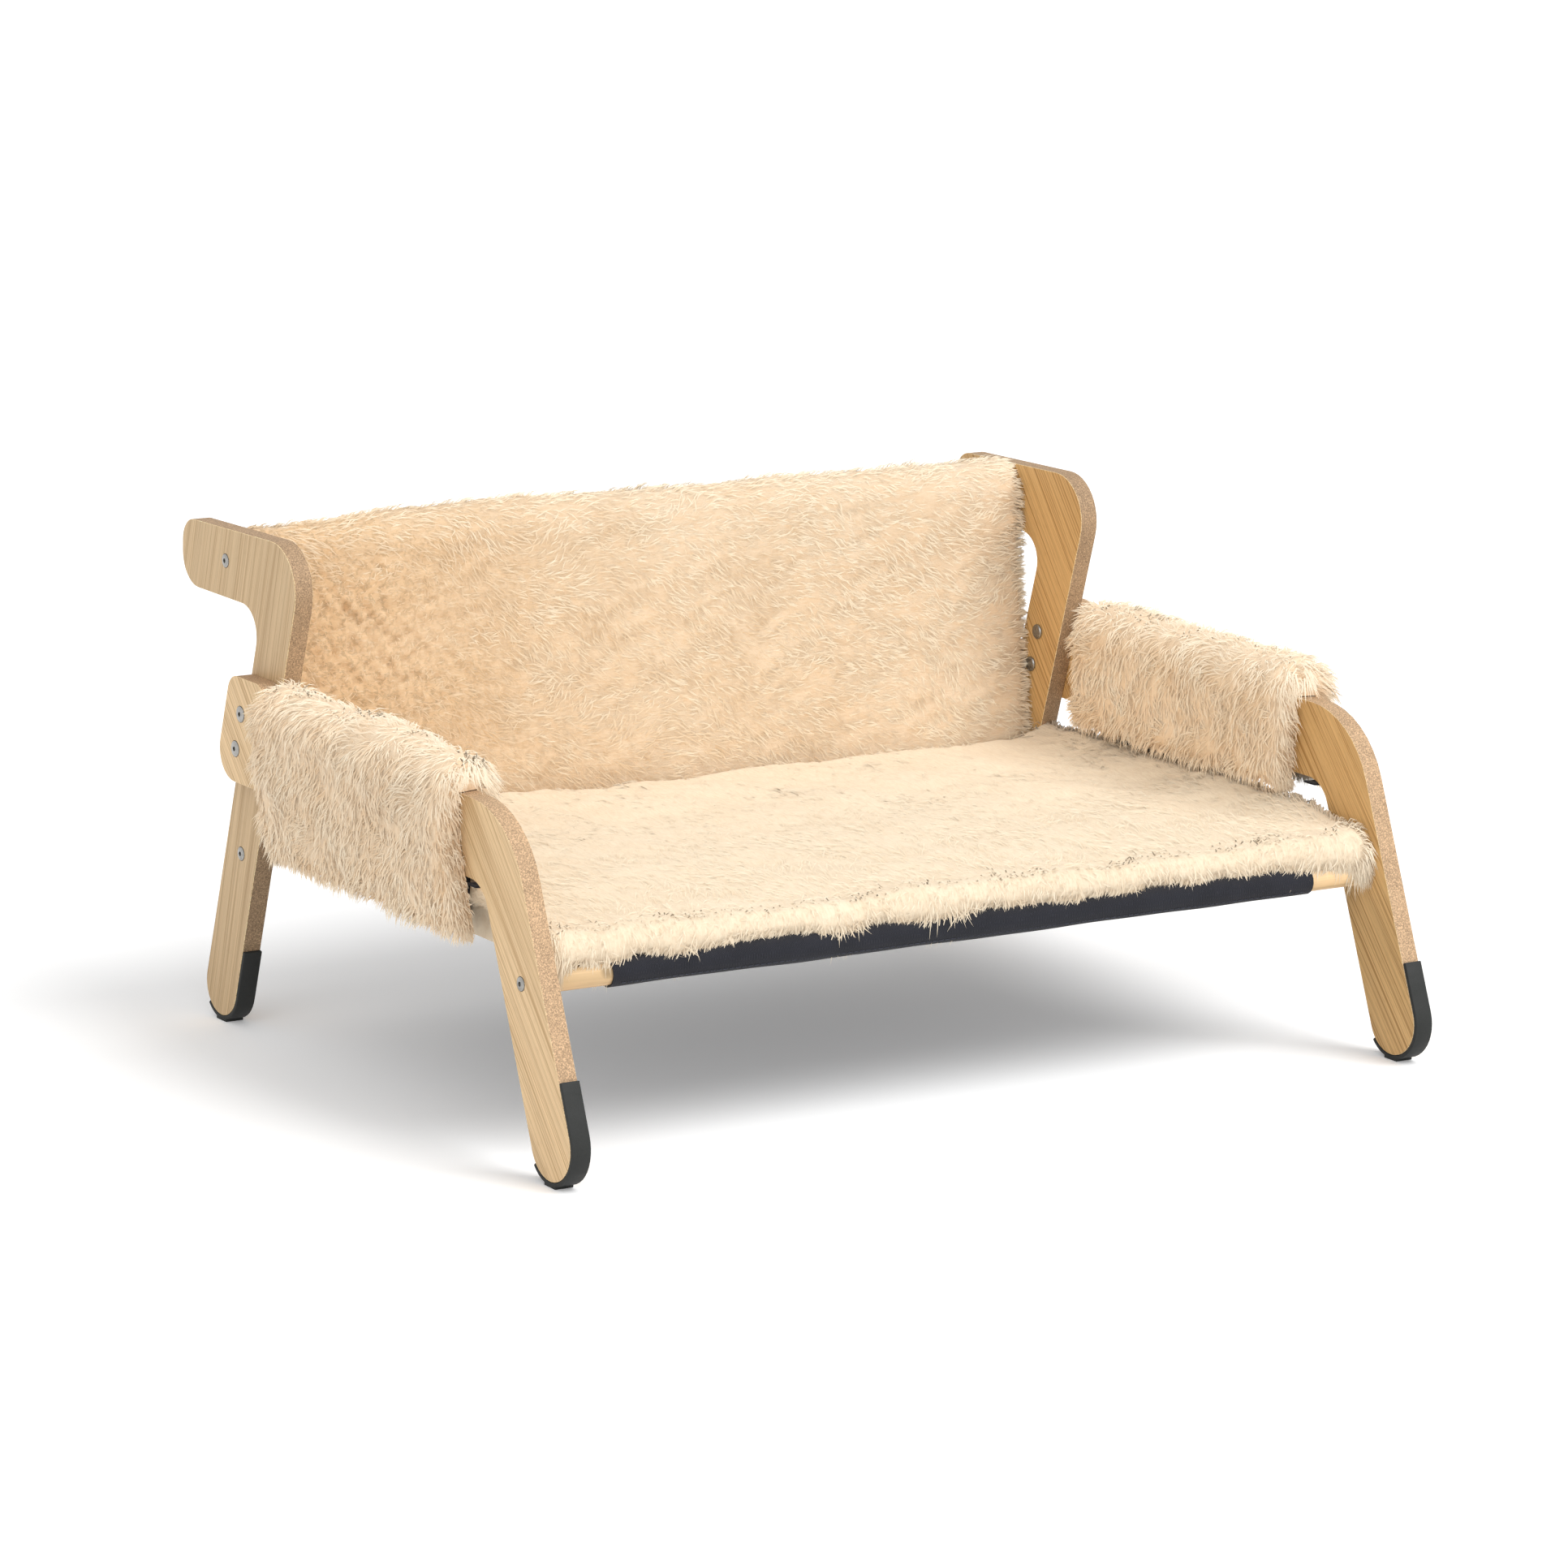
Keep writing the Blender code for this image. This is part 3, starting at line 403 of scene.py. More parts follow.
def body_material(name, pale, deep, fibres, axis=None, fade=None):
    """Dense body of a pile: fine fibres the way it is combed, soft patches, and a fade to the deep colour
    along an axis with darker curls in it, which is a tan patch on the back and painted shade at an arm's
    front end.
    """
    nodes = Nodes(name)
    here = nodes.place()
    threads = nodes.grain(here, fibres, 3.0, 0.6, 0.5)
    curls = nodes.noise(here, 260.0, 3.0, 0.6, 0.6)
    patches = nodes.noise(here, 24.0, 3.0, 0.6)
    tone = nodes.stain(pale, patches, 0.35, 0.65, 0.22, deep)
    if fade:
        stray = (fade[1] - fade[0]) * 0.2
        across = nodes.math("ADD", nodes.parts(here)[axis], nodes.span(patches, 0.3, 0.7, -stray, stray))
        faded = nodes.span(across, fade[0], fade[1], 0.9, 0.0)
        tone = nodes.mix(faded, tone, deep)
        knots = nodes.math("MULTIPLY", faded, nodes.span(curls, 0.52, 0.40, 0.0, 0.7))
        tone = nodes.mix(knots, tone, scaled(deep, 0.55))
    tone = nodes.stain(tone, threads, 0.52, 0.34, 0.45, scaled(deep, 0.92))
    tone = nodes.stain(tone, threads, 0.55, 0.72, 0.6, scaled(pale, 1.06))
    nodes.bump(nodes.math("ADD", threads, nodes.math("MULTIPLY", curls, 0.8)), 0.35, 0.0010)
    nodes.sheen(0.2)
    return nodes.finish(tone, 0.9, specular=0.15)


def looks():
    """Every material by name, made once."""
    if not looks.made:
        colours = settings()[1]
        made = looks.made
        for kind, colour, degrees, contrast in (
            ("arm_outer", colours.veneer, 49, 0.7),
            ("arm_inner", colours.veneer_inner, 49, 0.9),
            ("back_outer", scaled(colours.veneer, 0.80), 103, 0.6),
            ("back_inner", colours.veneer_inner, 52, 0.9),
        ):
            made[kind] = veneer_material("oak_" + kind, colour, math.radians(degrees), contrast)
        made["arm_edge"] = edge_material("arm_board_edge", colours.board_edge)
        # The back boards' edges are darker: partly their own tone, partly painted shade for the rear legs
        # that stand in shade under the arms.
        made["back_edge"] = edge_material("back_board_edge_tone_and_painted_shade", scaled(colours.board_edge, 0.75))
        made["arris"] = edge_material("board_arris", scaled(colours.veneer, 1.30))
        made["pine"] = pine_material("pine_rail", colours.pine)
        made["rubber"] = rubber_material("grey_rubber_strip", colours.rubber)
        made["nickel"] = metal_material("nickel_fixing", colours.nickel, 0.28)
        made["zinc"] = metal_material("zinc_insert", colours.zinc, 0.35)
        made["canvas"] = canvas_material("navy_canvas_cloth", colours.canvas)
        made["lining"] = canvas_material("navy_lining_cloth", colours.canvas, "Z")
        made["thread"] = thread_material("navy_thread", colours.canvas)
        pale, tan = colours.pile_body, colours.pile_tan
        middle = between(pale, tan)
        made["seat_strand"] = strand_material("cream_seat_strand", colours.pile_cream, middle)
        made["back_strand"] = strand_material("cream_back_strand", colours.pile_cream, tan)
        made["arm_strand"] = strand_material("cream_arm_strand", colours.arm_cream, colours.arm_tan)
        made["seat_body"] = body_material("seat_pile_body", pale, middle, (800, 150, 150))
        left_fade = (-0.24, -0.02)
        made["back_body"] = body_material(
            "back_pile_body", colours.back_body, tan, (150, 800, 800), "X", left_fade
        )
        arm_pale = between(colours.arm_cream, colours.arm_tan)
        # Painted shade: the arm body deepens to tan with darker curls at its front end, for the shade between
        # the tufts there.
        front_shade_start = COVER_FRONT + COVER_TRIM - 0.002
        made["arm_body"] = body_material(
            "arm_pile_body", arm_pale, colours.arm_tan, (200, 800, 130), "Y", (front_shade_start, front_shade_start + 0.008)
        )
    return looks.made


looks.made = {}


# Mesh building


def piece(name, shape, kinds, node=None):
    """A bmesh or a mesh as an object at the origin that rides on the frame, in place of a node if named."""
    mesh = shape
    if isinstance(shape, bmesh.types.BMesh):
        mesh = bpy.data.meshes.new(name)
        shape.to_mesh(mesh)
        shape.free()
    obj = bpy.data.objects.new(name, mesh)
    bpy.context.scene.collection.objects.link(obj)
    for kind in kinds:
        mesh.materials.append(looks()[kind])
    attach(obj, "root")
    if node:
        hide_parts(node)
    return obj


def merged(node):
    """bmesh of a CAD node's mesh with its loose triangles joined."""
    shape = bmesh.new()
    shape.from_mesh(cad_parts[node].data)
    bmesh.ops.remove_doubles(shape, verts=shape.verts, dist=WELD)
    for face in shape.faces:
        face.material_index = 0
    return shape


def smooth(shape, sharp_from=math.radians(32)):
    for face in shape.faces:
        face.smooth = True
    for edge in shape.edges:
        if edge.is_manifold:
            edge.smooth = edge.calc_face_angle() < sharp_from


def bevel_sharp(shape, width, segments, sharp_from=math.radians(50)):
    edges = [e for e in shape.edges if e.is_manifold and e.calc_face_angle() > sharp_from]
    bmesh.ops.bevel(
        shape, geom=edges, offset=width, segments=segments, profile=0.5, affect="EDGES", material=-1,
        offset_type="OFFSET", clamp_overlap=True,
    )


def board_face(across):
    """Material index of a board's face by the part of its normal that points away from the bed's middle."""
    if abs(across) > 0.9:
        return 0 if across > 0 else 1
    return 3 if abs(across) > 0.4 else 2


class LOUNGER_OT_boards(bpy.types.Operator):
    """Veneered arm and back boards with sanded fibreboard edges."""

    bl_idname = "lounger.boards"
    bl_label = "Boards"

    def execute(self, context):
        for kind in ("arm", "back"):
            for word, side in SIDES:
                node = kind + "_board_" + word
                shape = merged(node)
                shape.normal_update()
                for face in shape.faces:
                    face.material_index = board_face(face.normal.x * side)
                smooth(shape)
                kinds = (kind + "_outer", kind + "_inner", kind + "_edge", "arris")
                piece(node + "_veneered", shape, kinds, node)
        return {"FINISHED"}


class LOUNGER_OT_rails(bpy.types.Operator):
    """Round pine rails."""

    bl_idname = "lounger.rails"
    bl_label = "Rails"

    def execute(self, context):
        for node in ("front_rail", "rear_seat_rail", "top_rail"):
            shape = merged(node)
            smooth(shape)
            piece(node + "_turned", shape, ["pine"], node)
        return {"FINISHED"}


class LOUNGER_OT_fixings(bpy.types.Operator):
    """Bolts, threaded inserts and sleeve nuts."""

    bl_idname = "lounger.fixings"
    bl_label = "Fixings"

    def execute(self, context):
        for node in sorted(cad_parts):
            if node.endswith("_insert"):
                kind, slot = "zinc", "yellow_zinc"
            elif node.endswith(("_bolt", "_nut")):
                kind, slot = "nickel", "nickel_plate"
            else:
                continue
            shape = merged(node)
            smooth(shape, math.radians(28))
            piece(node + "_plated", shape, [kind], node)
        return {"FINISHED"}


class LOUNGER_OT_foot_pads(bpy.types.Operator):
    """Rubber strips round the feet, with softened edges."""

    bl_idname = "lounger.foot_pads"
    bl_label = "Foot strips"

    def execute(self, context):
        for end in ("front", "rear"):
            for word, side in SIDES:
                node = end + "_foot_pad_" + word
                shape = merged(node)
                bmesh.ops.dissolve_limit(
                    shape, angle_limit=math.radians(0.5), verts=shape.verts, edges=shape.edges
                )
                bevel_sharp(shape, 0.0005, 2, math.radians(60))
                smooth(shape)
                piece(node + "_moulded", shape, ["rubber"], node)
        return {"FINISHED"}


# Paths that cloth and pile follow


def unit(angle):
    return Vector((math.cos(angle), math.sin(angle)))


def arc(centre, radius, first, last, steps):
    return [centre + radius * unit(first + (last - first) * i / steps) for i in range(steps + 1)]


class Path:
    """A 2D line of points, read by its arc length; out is the side that the pile stands on."""

    def __init__(self, points, out=1):
        kept = [points[0]]
        for point in points[1:]:
            if (point - kept[-1]).length > WELD:
                kept.append(point)
        self.points = np.array([tuple(p) for p in kept])
        steps = np.diff(self.points, axis=0)
        lengths = np.hypot(steps[:, 0], steps[:, 1])
        self.at = np.concatenate(([0.0], np.cumsum(lengths)))
        self.length = float(self.at[-1])
        headings = steps / lengths[:, None]
        corners = np.vstack((headings[:1], (headings[:-1] + headings[1:]) / 2, headings[-1:]))
        corners /= np.linalg.norm(corners, axis=1)[:, None]
        self.headings = corners
        self.out = out

    def read(self, s):
        """Place, heading and outward normal at each arc length in s."""
        place = np.stack([np.interp(s, self.at, self.points[:, i]) for i in (0, 1)], -1)
        heading = np.stack([np.interp(s, self.at, self.headings[:, i]) for i in (0, 1)], -1)
        heading /= np.linalg.norm(heading, axis=-1, keepdims=True)
        normal = np.stack((-heading[..., 1], heading[..., 0]), -1) * self.out
        return place, heading, normal


def waves(seed, count, low, high):
    """Smooth noise over (s, w): sums of sines whose wavelengths run from low to high metres."""
    rng = np.random.default_rng(seed)
    wavelength = rng.uniform(low, high, count)
    heading = rng.uniform(0, 2 * math.pi, count)
    phase = rng.uniform(0, 2 * math.pi, count)
    k = 2 * math.pi / wavelength

    def value(s, w):
        total = np.zeros_like(s)
        for i in range(count):
            total += np.sin(k[i] * (np.cos(heading[i]) * s + np.sin(heading[i]) * w) + phase[i])
        return total / math.sqrt(count / 2)

    return value


def ramp(value, start, end):
    """0 up to start, 1 from end on and even between; start may be the higher of the two."""
    return np.clip((value - start) / (end - start), 0, 1)


def flat_grid(rows, columns):
    """A grid, with the row share and the column share of each of its points."""
    shape = bmesh.new()
    bmesh.ops.create_grid(shape, x_segments=columns, y_segments=rows, size=0.5)
    flat = np.array([v.co for v in shape.verts])
    return shape, flat[:, 1] + 0.5, flat[:, 0] + 0.5


def grid_sheet(rows, columns, place):
    """An open grid whose points go where place(row share, column share) says."""
    shape, row, column = flat_grid(rows, columns)
    for vert, point in zip(shape.verts, place(row, column)):
        vert.co = point
    return shape


def straight_sheet(rows, columns, path, half, lift):
    """A sheet that runs straight across the bed on a section; lift(s, x) is its height off it."""

    def place(row, column):
        s = row * path.length
        x = (column * 2 - 1) * half
        at, heading, normal = path.read(s)
        yz = at + normal * lift(s, x)[:, None]
        return np.stack((x, yz[:, 0], yz[:, 1]), -1)

    return grid_sheet(rows, columns, place)


def face_out(shape, axis, sign):
    """Turn an open sheet's faces so that the outermost one along an axis looks that way."""
    shape.normal_update()
    outermost = max(shape.faces, key=lambda f: sign * f.calc_center_median()[axis])
    if sign * outermost.normal[axis] < 0:
        bmesh.ops.reverse_faces(shape, faces=shape.faces)


def thicken(shape, amount):
    """Give an open sheet its thickness, away from the side that its faces show.

    The faces are then ranked by their places, because solidify makes its rim in a different order each run.
    """
    shape.normal_update()
    bmesh.ops.solidify(shape, geom=shape.faces[:], thickness=amount)
    bmesh.ops.recalc_face_normals(shape, faces=shape.faces)
    smooth(shape, math.radians(60))
    ranked = sorted(shape.faces, key=lambda face: tuple(face.calc_center_median()))
    rank = {face: i for i, face in enumerate(ranked)}
    shape.faces.sort(key=rank.get)


# Canvas


def sling_path():
    """From the seam under the front rail, over it, across to the rear seat rail and round that."""
    radius = RAIL_RADIUS + CLOTH_GAP
    under = math.radians(8)
    front = arc(FRONT_RAIL, radius, 2 * math.pi - under, math.pi / 2, 26)
    rear = arc(REAR_RAIL, radius, math.pi / 2, -math.pi + under, 22)
    return Path(front + rear)


def backrest(radius, foot_gap, sweep, steps):
    """Points up the backrest's front and round the top rail, with the ways up and forwards."""
    up = (TOP_RAIL - REAR_RAIL).normalized()
    forward = Vector((-up.y, up.x))
    facing = math.atan2(forward.y, forward.x)
    foot = REAR_RAIL + up * foot_gap + forward * radius
    return [foot] + arc(TOP_RAIL, radius, facing, facing - sweep, steps), up, forward


class LOUNGER_OT_canvas(bpy.types.Operator):
    """Canvas sling, back cloth, arm linings and straps, with their stitching."""

    bl_idname = "lounger.canvas"
    bl_label = "Canvas"

    def execute(self, context):
        sizes = settings()[0]
        self.sling(sizes)
        self.back(sizes)
        for word, side in SIDES:
            self.lining(sizes, word, side)
            self.strap(word)
        return {"FINISHED"}

    def sling(self, sizes):
        """The seat's sling: wider between its sleeves, which stop short of the boards."""
        path = sling_path()
        wing = 0.2795
        ripple = waves(SEED, 9, 0.02, 0.09)
        shape = straight_sheet(
            150, 112, path, wing, lambda s, x: sizes.cloth + 0.00022 * (1 + ripple(s, x * 0.6))
        )
        wing_front, wing_rear = FRONT_RAIL.x - 0.001, REAR_RAIL.x - RAIL_RADIUS - 0.012
        wing_low = FRONT_RAIL.y + RAIL_RADIUS * 0.5
        gone = []
        for face in shape.faces:
            middle = face.calc_center_median()
            winged = wing_front < middle.y < wing_rear and middle.z > wing_low
            if abs(middle.x) > SLEEVE_HALF and not winged:
                gone.append(face)
        bmesh.ops.delete(shape, geom=gone, context="FACES")
        cut = sum(face.calc_area() for face in shape.faces)
        face_out(shape, 2, 1)
        obj = self.cloth("sling_cloth", shape, sizes.cloth, "canvas", "seat_canvas")
        stitches = self.stitches("sling_stitches")

    def cloth(self, name, shape, thickness, kind, node):
        """An open sheet, thickened and closed, in place of its node."""
        thicken(shape, thickness)
        return piece(name, shape, [kind], node)

    def stitches(self, name):
        """A row of short stitches along the lower front of the sleeve."""
        shape = bmesh.new()
        pitch, length, thread = 0.0042, 0.0030, 0.00028
        inset = 0.004
        count = int(2 * (SLEEVE_HALF - inset) / pitch)
        at = FRONT_RAIL + (RAIL_RADIUS + CLOTH_DEPTH) * unit(math.radians(216))
        lean = Matrix.Rotation(math.pi / 2, 4, "Y")
        for i in range(count):
            x = -SLEEVE_HALF + inset + (i + 0.5) * pitch
            matrix = Matrix.Translation((x, at.x, at.y)) @ lean
            bmesh.ops.create_cone(
                shape, cap_ends=True, segments=6, radius1=thread, radius2=thread, depth=length, matrix=matrix
            )
        return piece(name, shape, ["thread"])

    def back(self, sizes):
        """The back's cloth, from the rear seat rail up and round the top rail."""
        points, up, forward = backrest(
            RAIL_RADIUS + CLOTH_GAP, RAIL_RADIUS + 0.0022, math.radians(300), 30
        )
        path = Path(points)
        ripple = waves(SEED + 1, 9, 0.03, 0.1)
        shape = straight_sheet(
            70, 60, path, SLEEVE_HALF, lambda s, x: sizes.cloth + 0.0001 * (1 + ripple(s, x))
        )
        face_out(shape, 1, -1)
        obj = self.cloth("back_cloth", shape, sizes.cloth, "lining", "back_canvas")

    def lining(self, sizes, word, side):
        """Canvas under an arm's pile; the left one's inner flap hangs lower."""
        outer_low, inner_low = 0.1285, 0.1275 if side < 0 else 0.1485
        path = arm_path(outer_low, inner_low)
        setback = 0.008

        def place(row, column):
            at, heading, normal = path.read(row * path.length)
            return cover_points(side, at + normal * sizes.cloth, column, setback)

        shape = grid_sheet(60, 50, place)
        face_out(shape, 2, 1)
        obj = self.cloth("arm_lining_cloth_" + word, shape, sizes.cloth, "lining", "arm_lining_" + word)

    def strap(self, word):
        """The short strap under an arm, with a slight sag."""
        low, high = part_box("arm_strap_" + word)
        reach = (high.x - low.x) / 2
        middle = (high.x + low.x) / 2

        webbing, sag, clear = 0.0012, 0.0006, 0.0002

        def place(row, column):
            across = column * 2 - 1
            y = low.y + row * (high.y - low.y)
            return np.stack((middle + across * reach, y, high.z - clear - sag * (1 - across ** 2)), -1)

        shape = grid_sheet(8, 10, place)
        obj = self.cloth("arm_tab_" + word, shape, webbing, "lining", "arm_strap_" + word)


# Pile


def arm_path(outer_low, inner_low):
    """Section over an arm board, from the inner flap's foot over the top: (distance inboard, height)."""
    top = ARM_TOP + CLOTH_GAP
    inner, outer = ARM_WIDTH + CLOTH_GAP, -CLOTH_GAP
    corner = 0.0035
    points = [Vector((inner, inner_low)), Vector((inner, top - corner))]
    points += arc(Vector((inner - corner, top - corner)), corner, 0.0, math.pi / 2, 8)
    points += arc(Vector((outer + corner, top - corner)), corner, math.pi / 2, math.pi, 8)
    points += [Vector((outer, outer_low))]
    return Path(points, out=-1)


def cover_points(side, inboard, column, setback):
    """Points of an arm cover from its section, column running from its front to its rear.

    The left flap hangs free and swings forward; the right one is tucked up at its front.
    """
    share = setback / COVER_LENGTH + column * (1 - 2 * setback / COVER_LENGTH)
    if side > 0:
        inboard = inboard.copy()
        tucked = (1 - ramp(share, 0, 0.55) ** 2) * (inboard[:, 0] < ARM_WIDTH / 2) * 0.85
        below = np.minimum(0.0, inboard[:, 1] - ARM_UNDER)
        inboard[:, 1] -= below * tucked
    y = COVER_FRONT + COVER_TRIM + share * (COVER_LENGTH - COVER_TRIM)
    outboard = 1 - ramp(inboard[:, 0], 0, ARM_WIDTH)
    middle = (ARM_TOP + ARM_UNDER) / 2
    swing = COVER_SWING if side < 0 else 0.0
    y = y - outboard * swing * np.maximum(0.0, middle - inboard[:, 1])
    y = y + (1 - outboard) * INNER_SETBACK * (1 - share)
    return np.stack((side * (ARM_OUTER - inboard[:, 0]), y, inboard[:, 1]), -1)


def strand_template(bent):
    """One closed three-sided spike, with a bend in it or straight; z runs from 0 at its root to 1."""
    shape = bmesh.new()
    bmesh.ops.create_cone(
        shape, cap_ends=True, segments=3, radius1=1.0, radius2=0.0, depth=1.0,
        matrix=Matrix.Translation((0, 0, 0.5)),
    )
    if bent:
        everything = shape.verts[:] + shape.edges[:] + shape.faces[:]
        bmesh.ops.bisect_plane(shape, geom=everything, plane_co=(0, 0, 0.45), plane_no=(0, 0, 1))
    bmesh.ops.remove_doubles(shape, verts=shape.verts, dist=0.0001)
    bmesh.ops.triangulate(shape, faces=shape.faces)
    bmesh.ops.recalc_face_normals(shape, faces=shape.faces)
    shape.verts.ensure_lookup_table()
    verts = np.array([v.co for v in shape.verts])
    faces = np.array([[v.index for v in f.verts] for f in shape.faces])
    shape.free()
    radius = np.hypot(verts[:, 0], verts[:, 1])
    around = np.zeros((len(verts), 2))
    wide = radius > 1e-6
    around[wide] = verts[wide, :2] / radius[wide, None]
    return verts[:, 2], around, faces


def normalised(vectors):
    return vectors / np.maximum(np.linalg.norm(vectors, axis=-1, keepdims=True), 1e-9)


def grow(name, look, bent, roots, first, second, third, widths, tints, out):
    """Strands as one piece: first and second step to the bend and to the tip; third moves the bend sideways.

    Their shading leans towards the pile's own facing and forwards, as light spreads in deep soft pile.
    """
    flatness, roundness, sweep = 0.6, 0.38, 0.1
    along, around, faces = strand_template(bent)
    count = len(roots)
    bend = roots + first
    tip = bend + second
    heading = normalised(first + second)
    side = normalised(np.cross(heading, out))
    rise = np.cross(heading, side)
    points = np.empty((count, len(along), 3), np.float32)
    facing = np.empty((count, len(along), 3), np.float32)
    for i, (z, (a, b)) in enumerate(zip(along, around)):
        if z < 0.2:
            centre, wide = roots, 1.0
        elif z < 0.8:
            centre, wide = bend + third, 0.85
        else:
            centre, wide = tip, 0.0
        points[:, i] = centre - (side * a + rise * b * flatness) * (widths * wide / 2)[:, None]
        facing[:, i] = normalised(out - roundness * (side * a + rise * b) + sweep * heading + LIT_FROM)
    mesh = bpy.data.meshes.new(name)
    mesh.vertices.add(count * len(along))
    mesh.vertices.foreach_set("co", points.reshape(-1))
    loops = (faces[None] + (np.arange(count) * len(along))[:, None, None]).reshape(-1)
    mesh.loops.add(len(loops))
    mesh.loops.foreach_set("vertex_index", loops.astype(np.int32))
    mesh.polygons.add(len(loops) // 3)
    mesh.polygons.foreach_set("loop_start", np.arange(0, len(loops), 3, dtype=np.int32))
    mesh.polygons.foreach_set("use_smooth", np.ones(len(loops) // 3, bool))
    layer = mesh.uv_layers.new(name=STRAND_MAP)
    u = 0.02 + 0.95 * np.clip(tints, 0, 1)
    map_u = u[:, None, None] + (around[faces][..., 0] * 0.008)[None]
    map_v = 0.02 + 0.96 * along[faces][None] + 0 * map_u
    layer.uv.foreach_set("vector", np.stack((map_u, map_v), -1).reshape(-1).astype(np.float32))
    mesh.update()
    mesh.normals_split_custom_set_from_vertices(facing.reshape(-1, 3))
    strands = piece(name, mesh, [look])
    # Strands cast no shadows; the painted shade in their tints stands in for it.
    strands.visible_shadow = False
    return strands


def tufts(rng, s, w, pull):
    """Part of the way from each point to the jittered middle of its tuft, and the tuft's own numbers.

    The primes spread the cells over a table of random numbers, so that neighbours differ.
    """
    row, column = np.floor(s / TUFT_PITCH).astype(int), np.floor(w / TUFT_PITCH).astype(int)
    size, row_prime, column_prime = 65521, 7919, 104729
    key = (row * row_prime + column * column_prime) % size
    table = rng.random((size, 4))
    centre_s = (row + 0.2 + 0.6 * table[key, 0]) * TUFT_PITCH
    centre_w = (column + 0.2 + 0.6 * table[key, 1]) * TUFT_PITCH
    return (centre_s - s) * pull, (centre_w - w) * pull, table[key, 2], table[key, 3]


def crowded(rng, low, high, count, share):
    """Even places from low to high, with a share of them moved on to the rounded rims at both ends."""
    places = rng.uniform(low, high, count)
    moved = rng.random(count) < share
    inset = RIM_WIDTH * (1 - np.cos(rng.random(count)))
    ends = np.where(rng.random(count) < 0.5, low + inset, high - inset)
    return np.where(moved, ends, places)


class Pile:
    """Strands over a face given by face(s, w) -> point, along s, along w, outward normal."""

    def __init__(self, name, look, seed, count, length, face, reach, bent, crowd):
        self.name = name
        self.look = look
        self.bent = bent
        self.rng = np.random.default_rng(seed)
        self.count = count
        self.length = length
        self.face = face
        self.s = crowded(self.rng, 0.0, reach[0], count, crowd[0])
        self.w = crowded(self.rng, *reach[1], count, crowd[1])

    def comb(self, width, s_way, w_way, lift, tint, droop, length=1.0, curl=0.12, pull=0.60, gaps=0.30):
        """Lay the strands along s_way, w_way with the given lift from the face."""
        rng = self.rng
        count = self.count
        point, along_s, along_w, normal = self.face(self.s, self.w)
        toward_s, toward_w, tuft_a, tuft_b = tufts(rng, self.s, self.w, pull)
        far = ramp(np.hypot(toward_s, toward_w), 0, pull * TUFT_PITCH * 0.6)
        size = self.length * length * (0.85 + 0.30 * tuft_a - 0.25 * far) * rng.uniform(0.8, 1.1, count)
        spread = rng.normal(0, curl, (2, count))
        twist = (tuft_b - 0.5) * 0.6
        flow_s = s_way + twist * w_way + spread[0]
        flow_w = w_way - twist * s_way + spread[1]
        flow = normalised(along_s * flow_s[:, None] + along_w * flow_w[:, None])
        lift = np.clip(lift + (tuft_a - 0.5) * 0.25 + rng.normal(0, 0.07, count), 0.03, 3.0)
        start = normalised(normal * (lift + 0.30)[:, None] + flow)
        end = normalised(normal * (lift * 0.45)[:, None] + flow)
        gather = along_s * toward_s[:, None] + along_w * toward_w[:, None]
        first = start * (size * 0.5)[:, None] + gather * 0.35
        second = end * (size * 0.5)[:, None] + gather * 0.55
        second[:, 2] -= droop * size
        side = normalised(np.cross(first + second, normal))
        third = side * (rng.normal(0, 0.05, count) * size)[:, None]
        roots = point - normal * ROOT_DEPTH
        # Painted shade: strands far from the middle of their tuft are darker and those near it paler, for the
        # shade between tufts.
        tints = tint + (tuft_b - 0.5) * 0.24 - gaps * (far - 0.5) + rng.normal(0, 0.07, count)
        widths = width * rng.uniform(0.75, 1.2, count)
        return roots, first, second, third, widths, tints, normal

    def pieces(self, grown):
        """The strands as pieces that each stay under the limit on triangles."""
        made = []
        triangles = 10 if self.bent else 4
        parts = math.ceil(self.count * triangles / MOST_TRIANGLES)
        for i, chosen in enumerate(np.array_split(np.arange(self.count), parts)):
            name = self.name if parts == 1 else f"{self.name}_{i + 1}"
            made.append(grow(name, self.look, self.bent, *(part[chosen] for part in grown)))
        return made


def two_layers(name, look, seed, count, under, length, face, reach, crowd, comb):
    """Long bent strands over shorter straight ones, under of these to each long one.

    comb(s, w, length share) says how a layer lies; reach is the end of s and the range of w.
    """
    sizes = settings()[0]
    made = []
    for suffix, extra, bent, number, width, share in (
        ("", 0, True, count, sizes.pile_width, 1.0),
        ("_under", 50, False, int(count * under), sizes.under_width, 0.75),
    ):
        pile = Pile(name + suffix, look, seed + extra, number, length, face, reach, bent, crowd)
        made += pile.pieces(pile.comb(width, **comb(pile.s, pile.w, share)))
    return made


def rim(distance, width):
    """Quarter-round share of the full depth at a distance from a pile's edge."""
    return np.sqrt(1 - (1 - ramp(distance, 0, width)) ** 2)


def relief(seed, along=1.0, across=1.0):
    """Soft swells with wavy tufts on them, drawn out along s or w by the given factors."""
    broad = waves(seed, 12, 0.05, 0.20)
    warp = waves(seed + 50, 10, 0.02, 0.06)
    tuft = waves(seed + 100, 16, 0.009, 0.022)

    def height(s, w):
        bend = 0.0035 * warp(s, w)
        return 0.0010 * broad(s, w) + 0.0003 * tuft((s + bend) / along, (w + bend) / across)

    return height


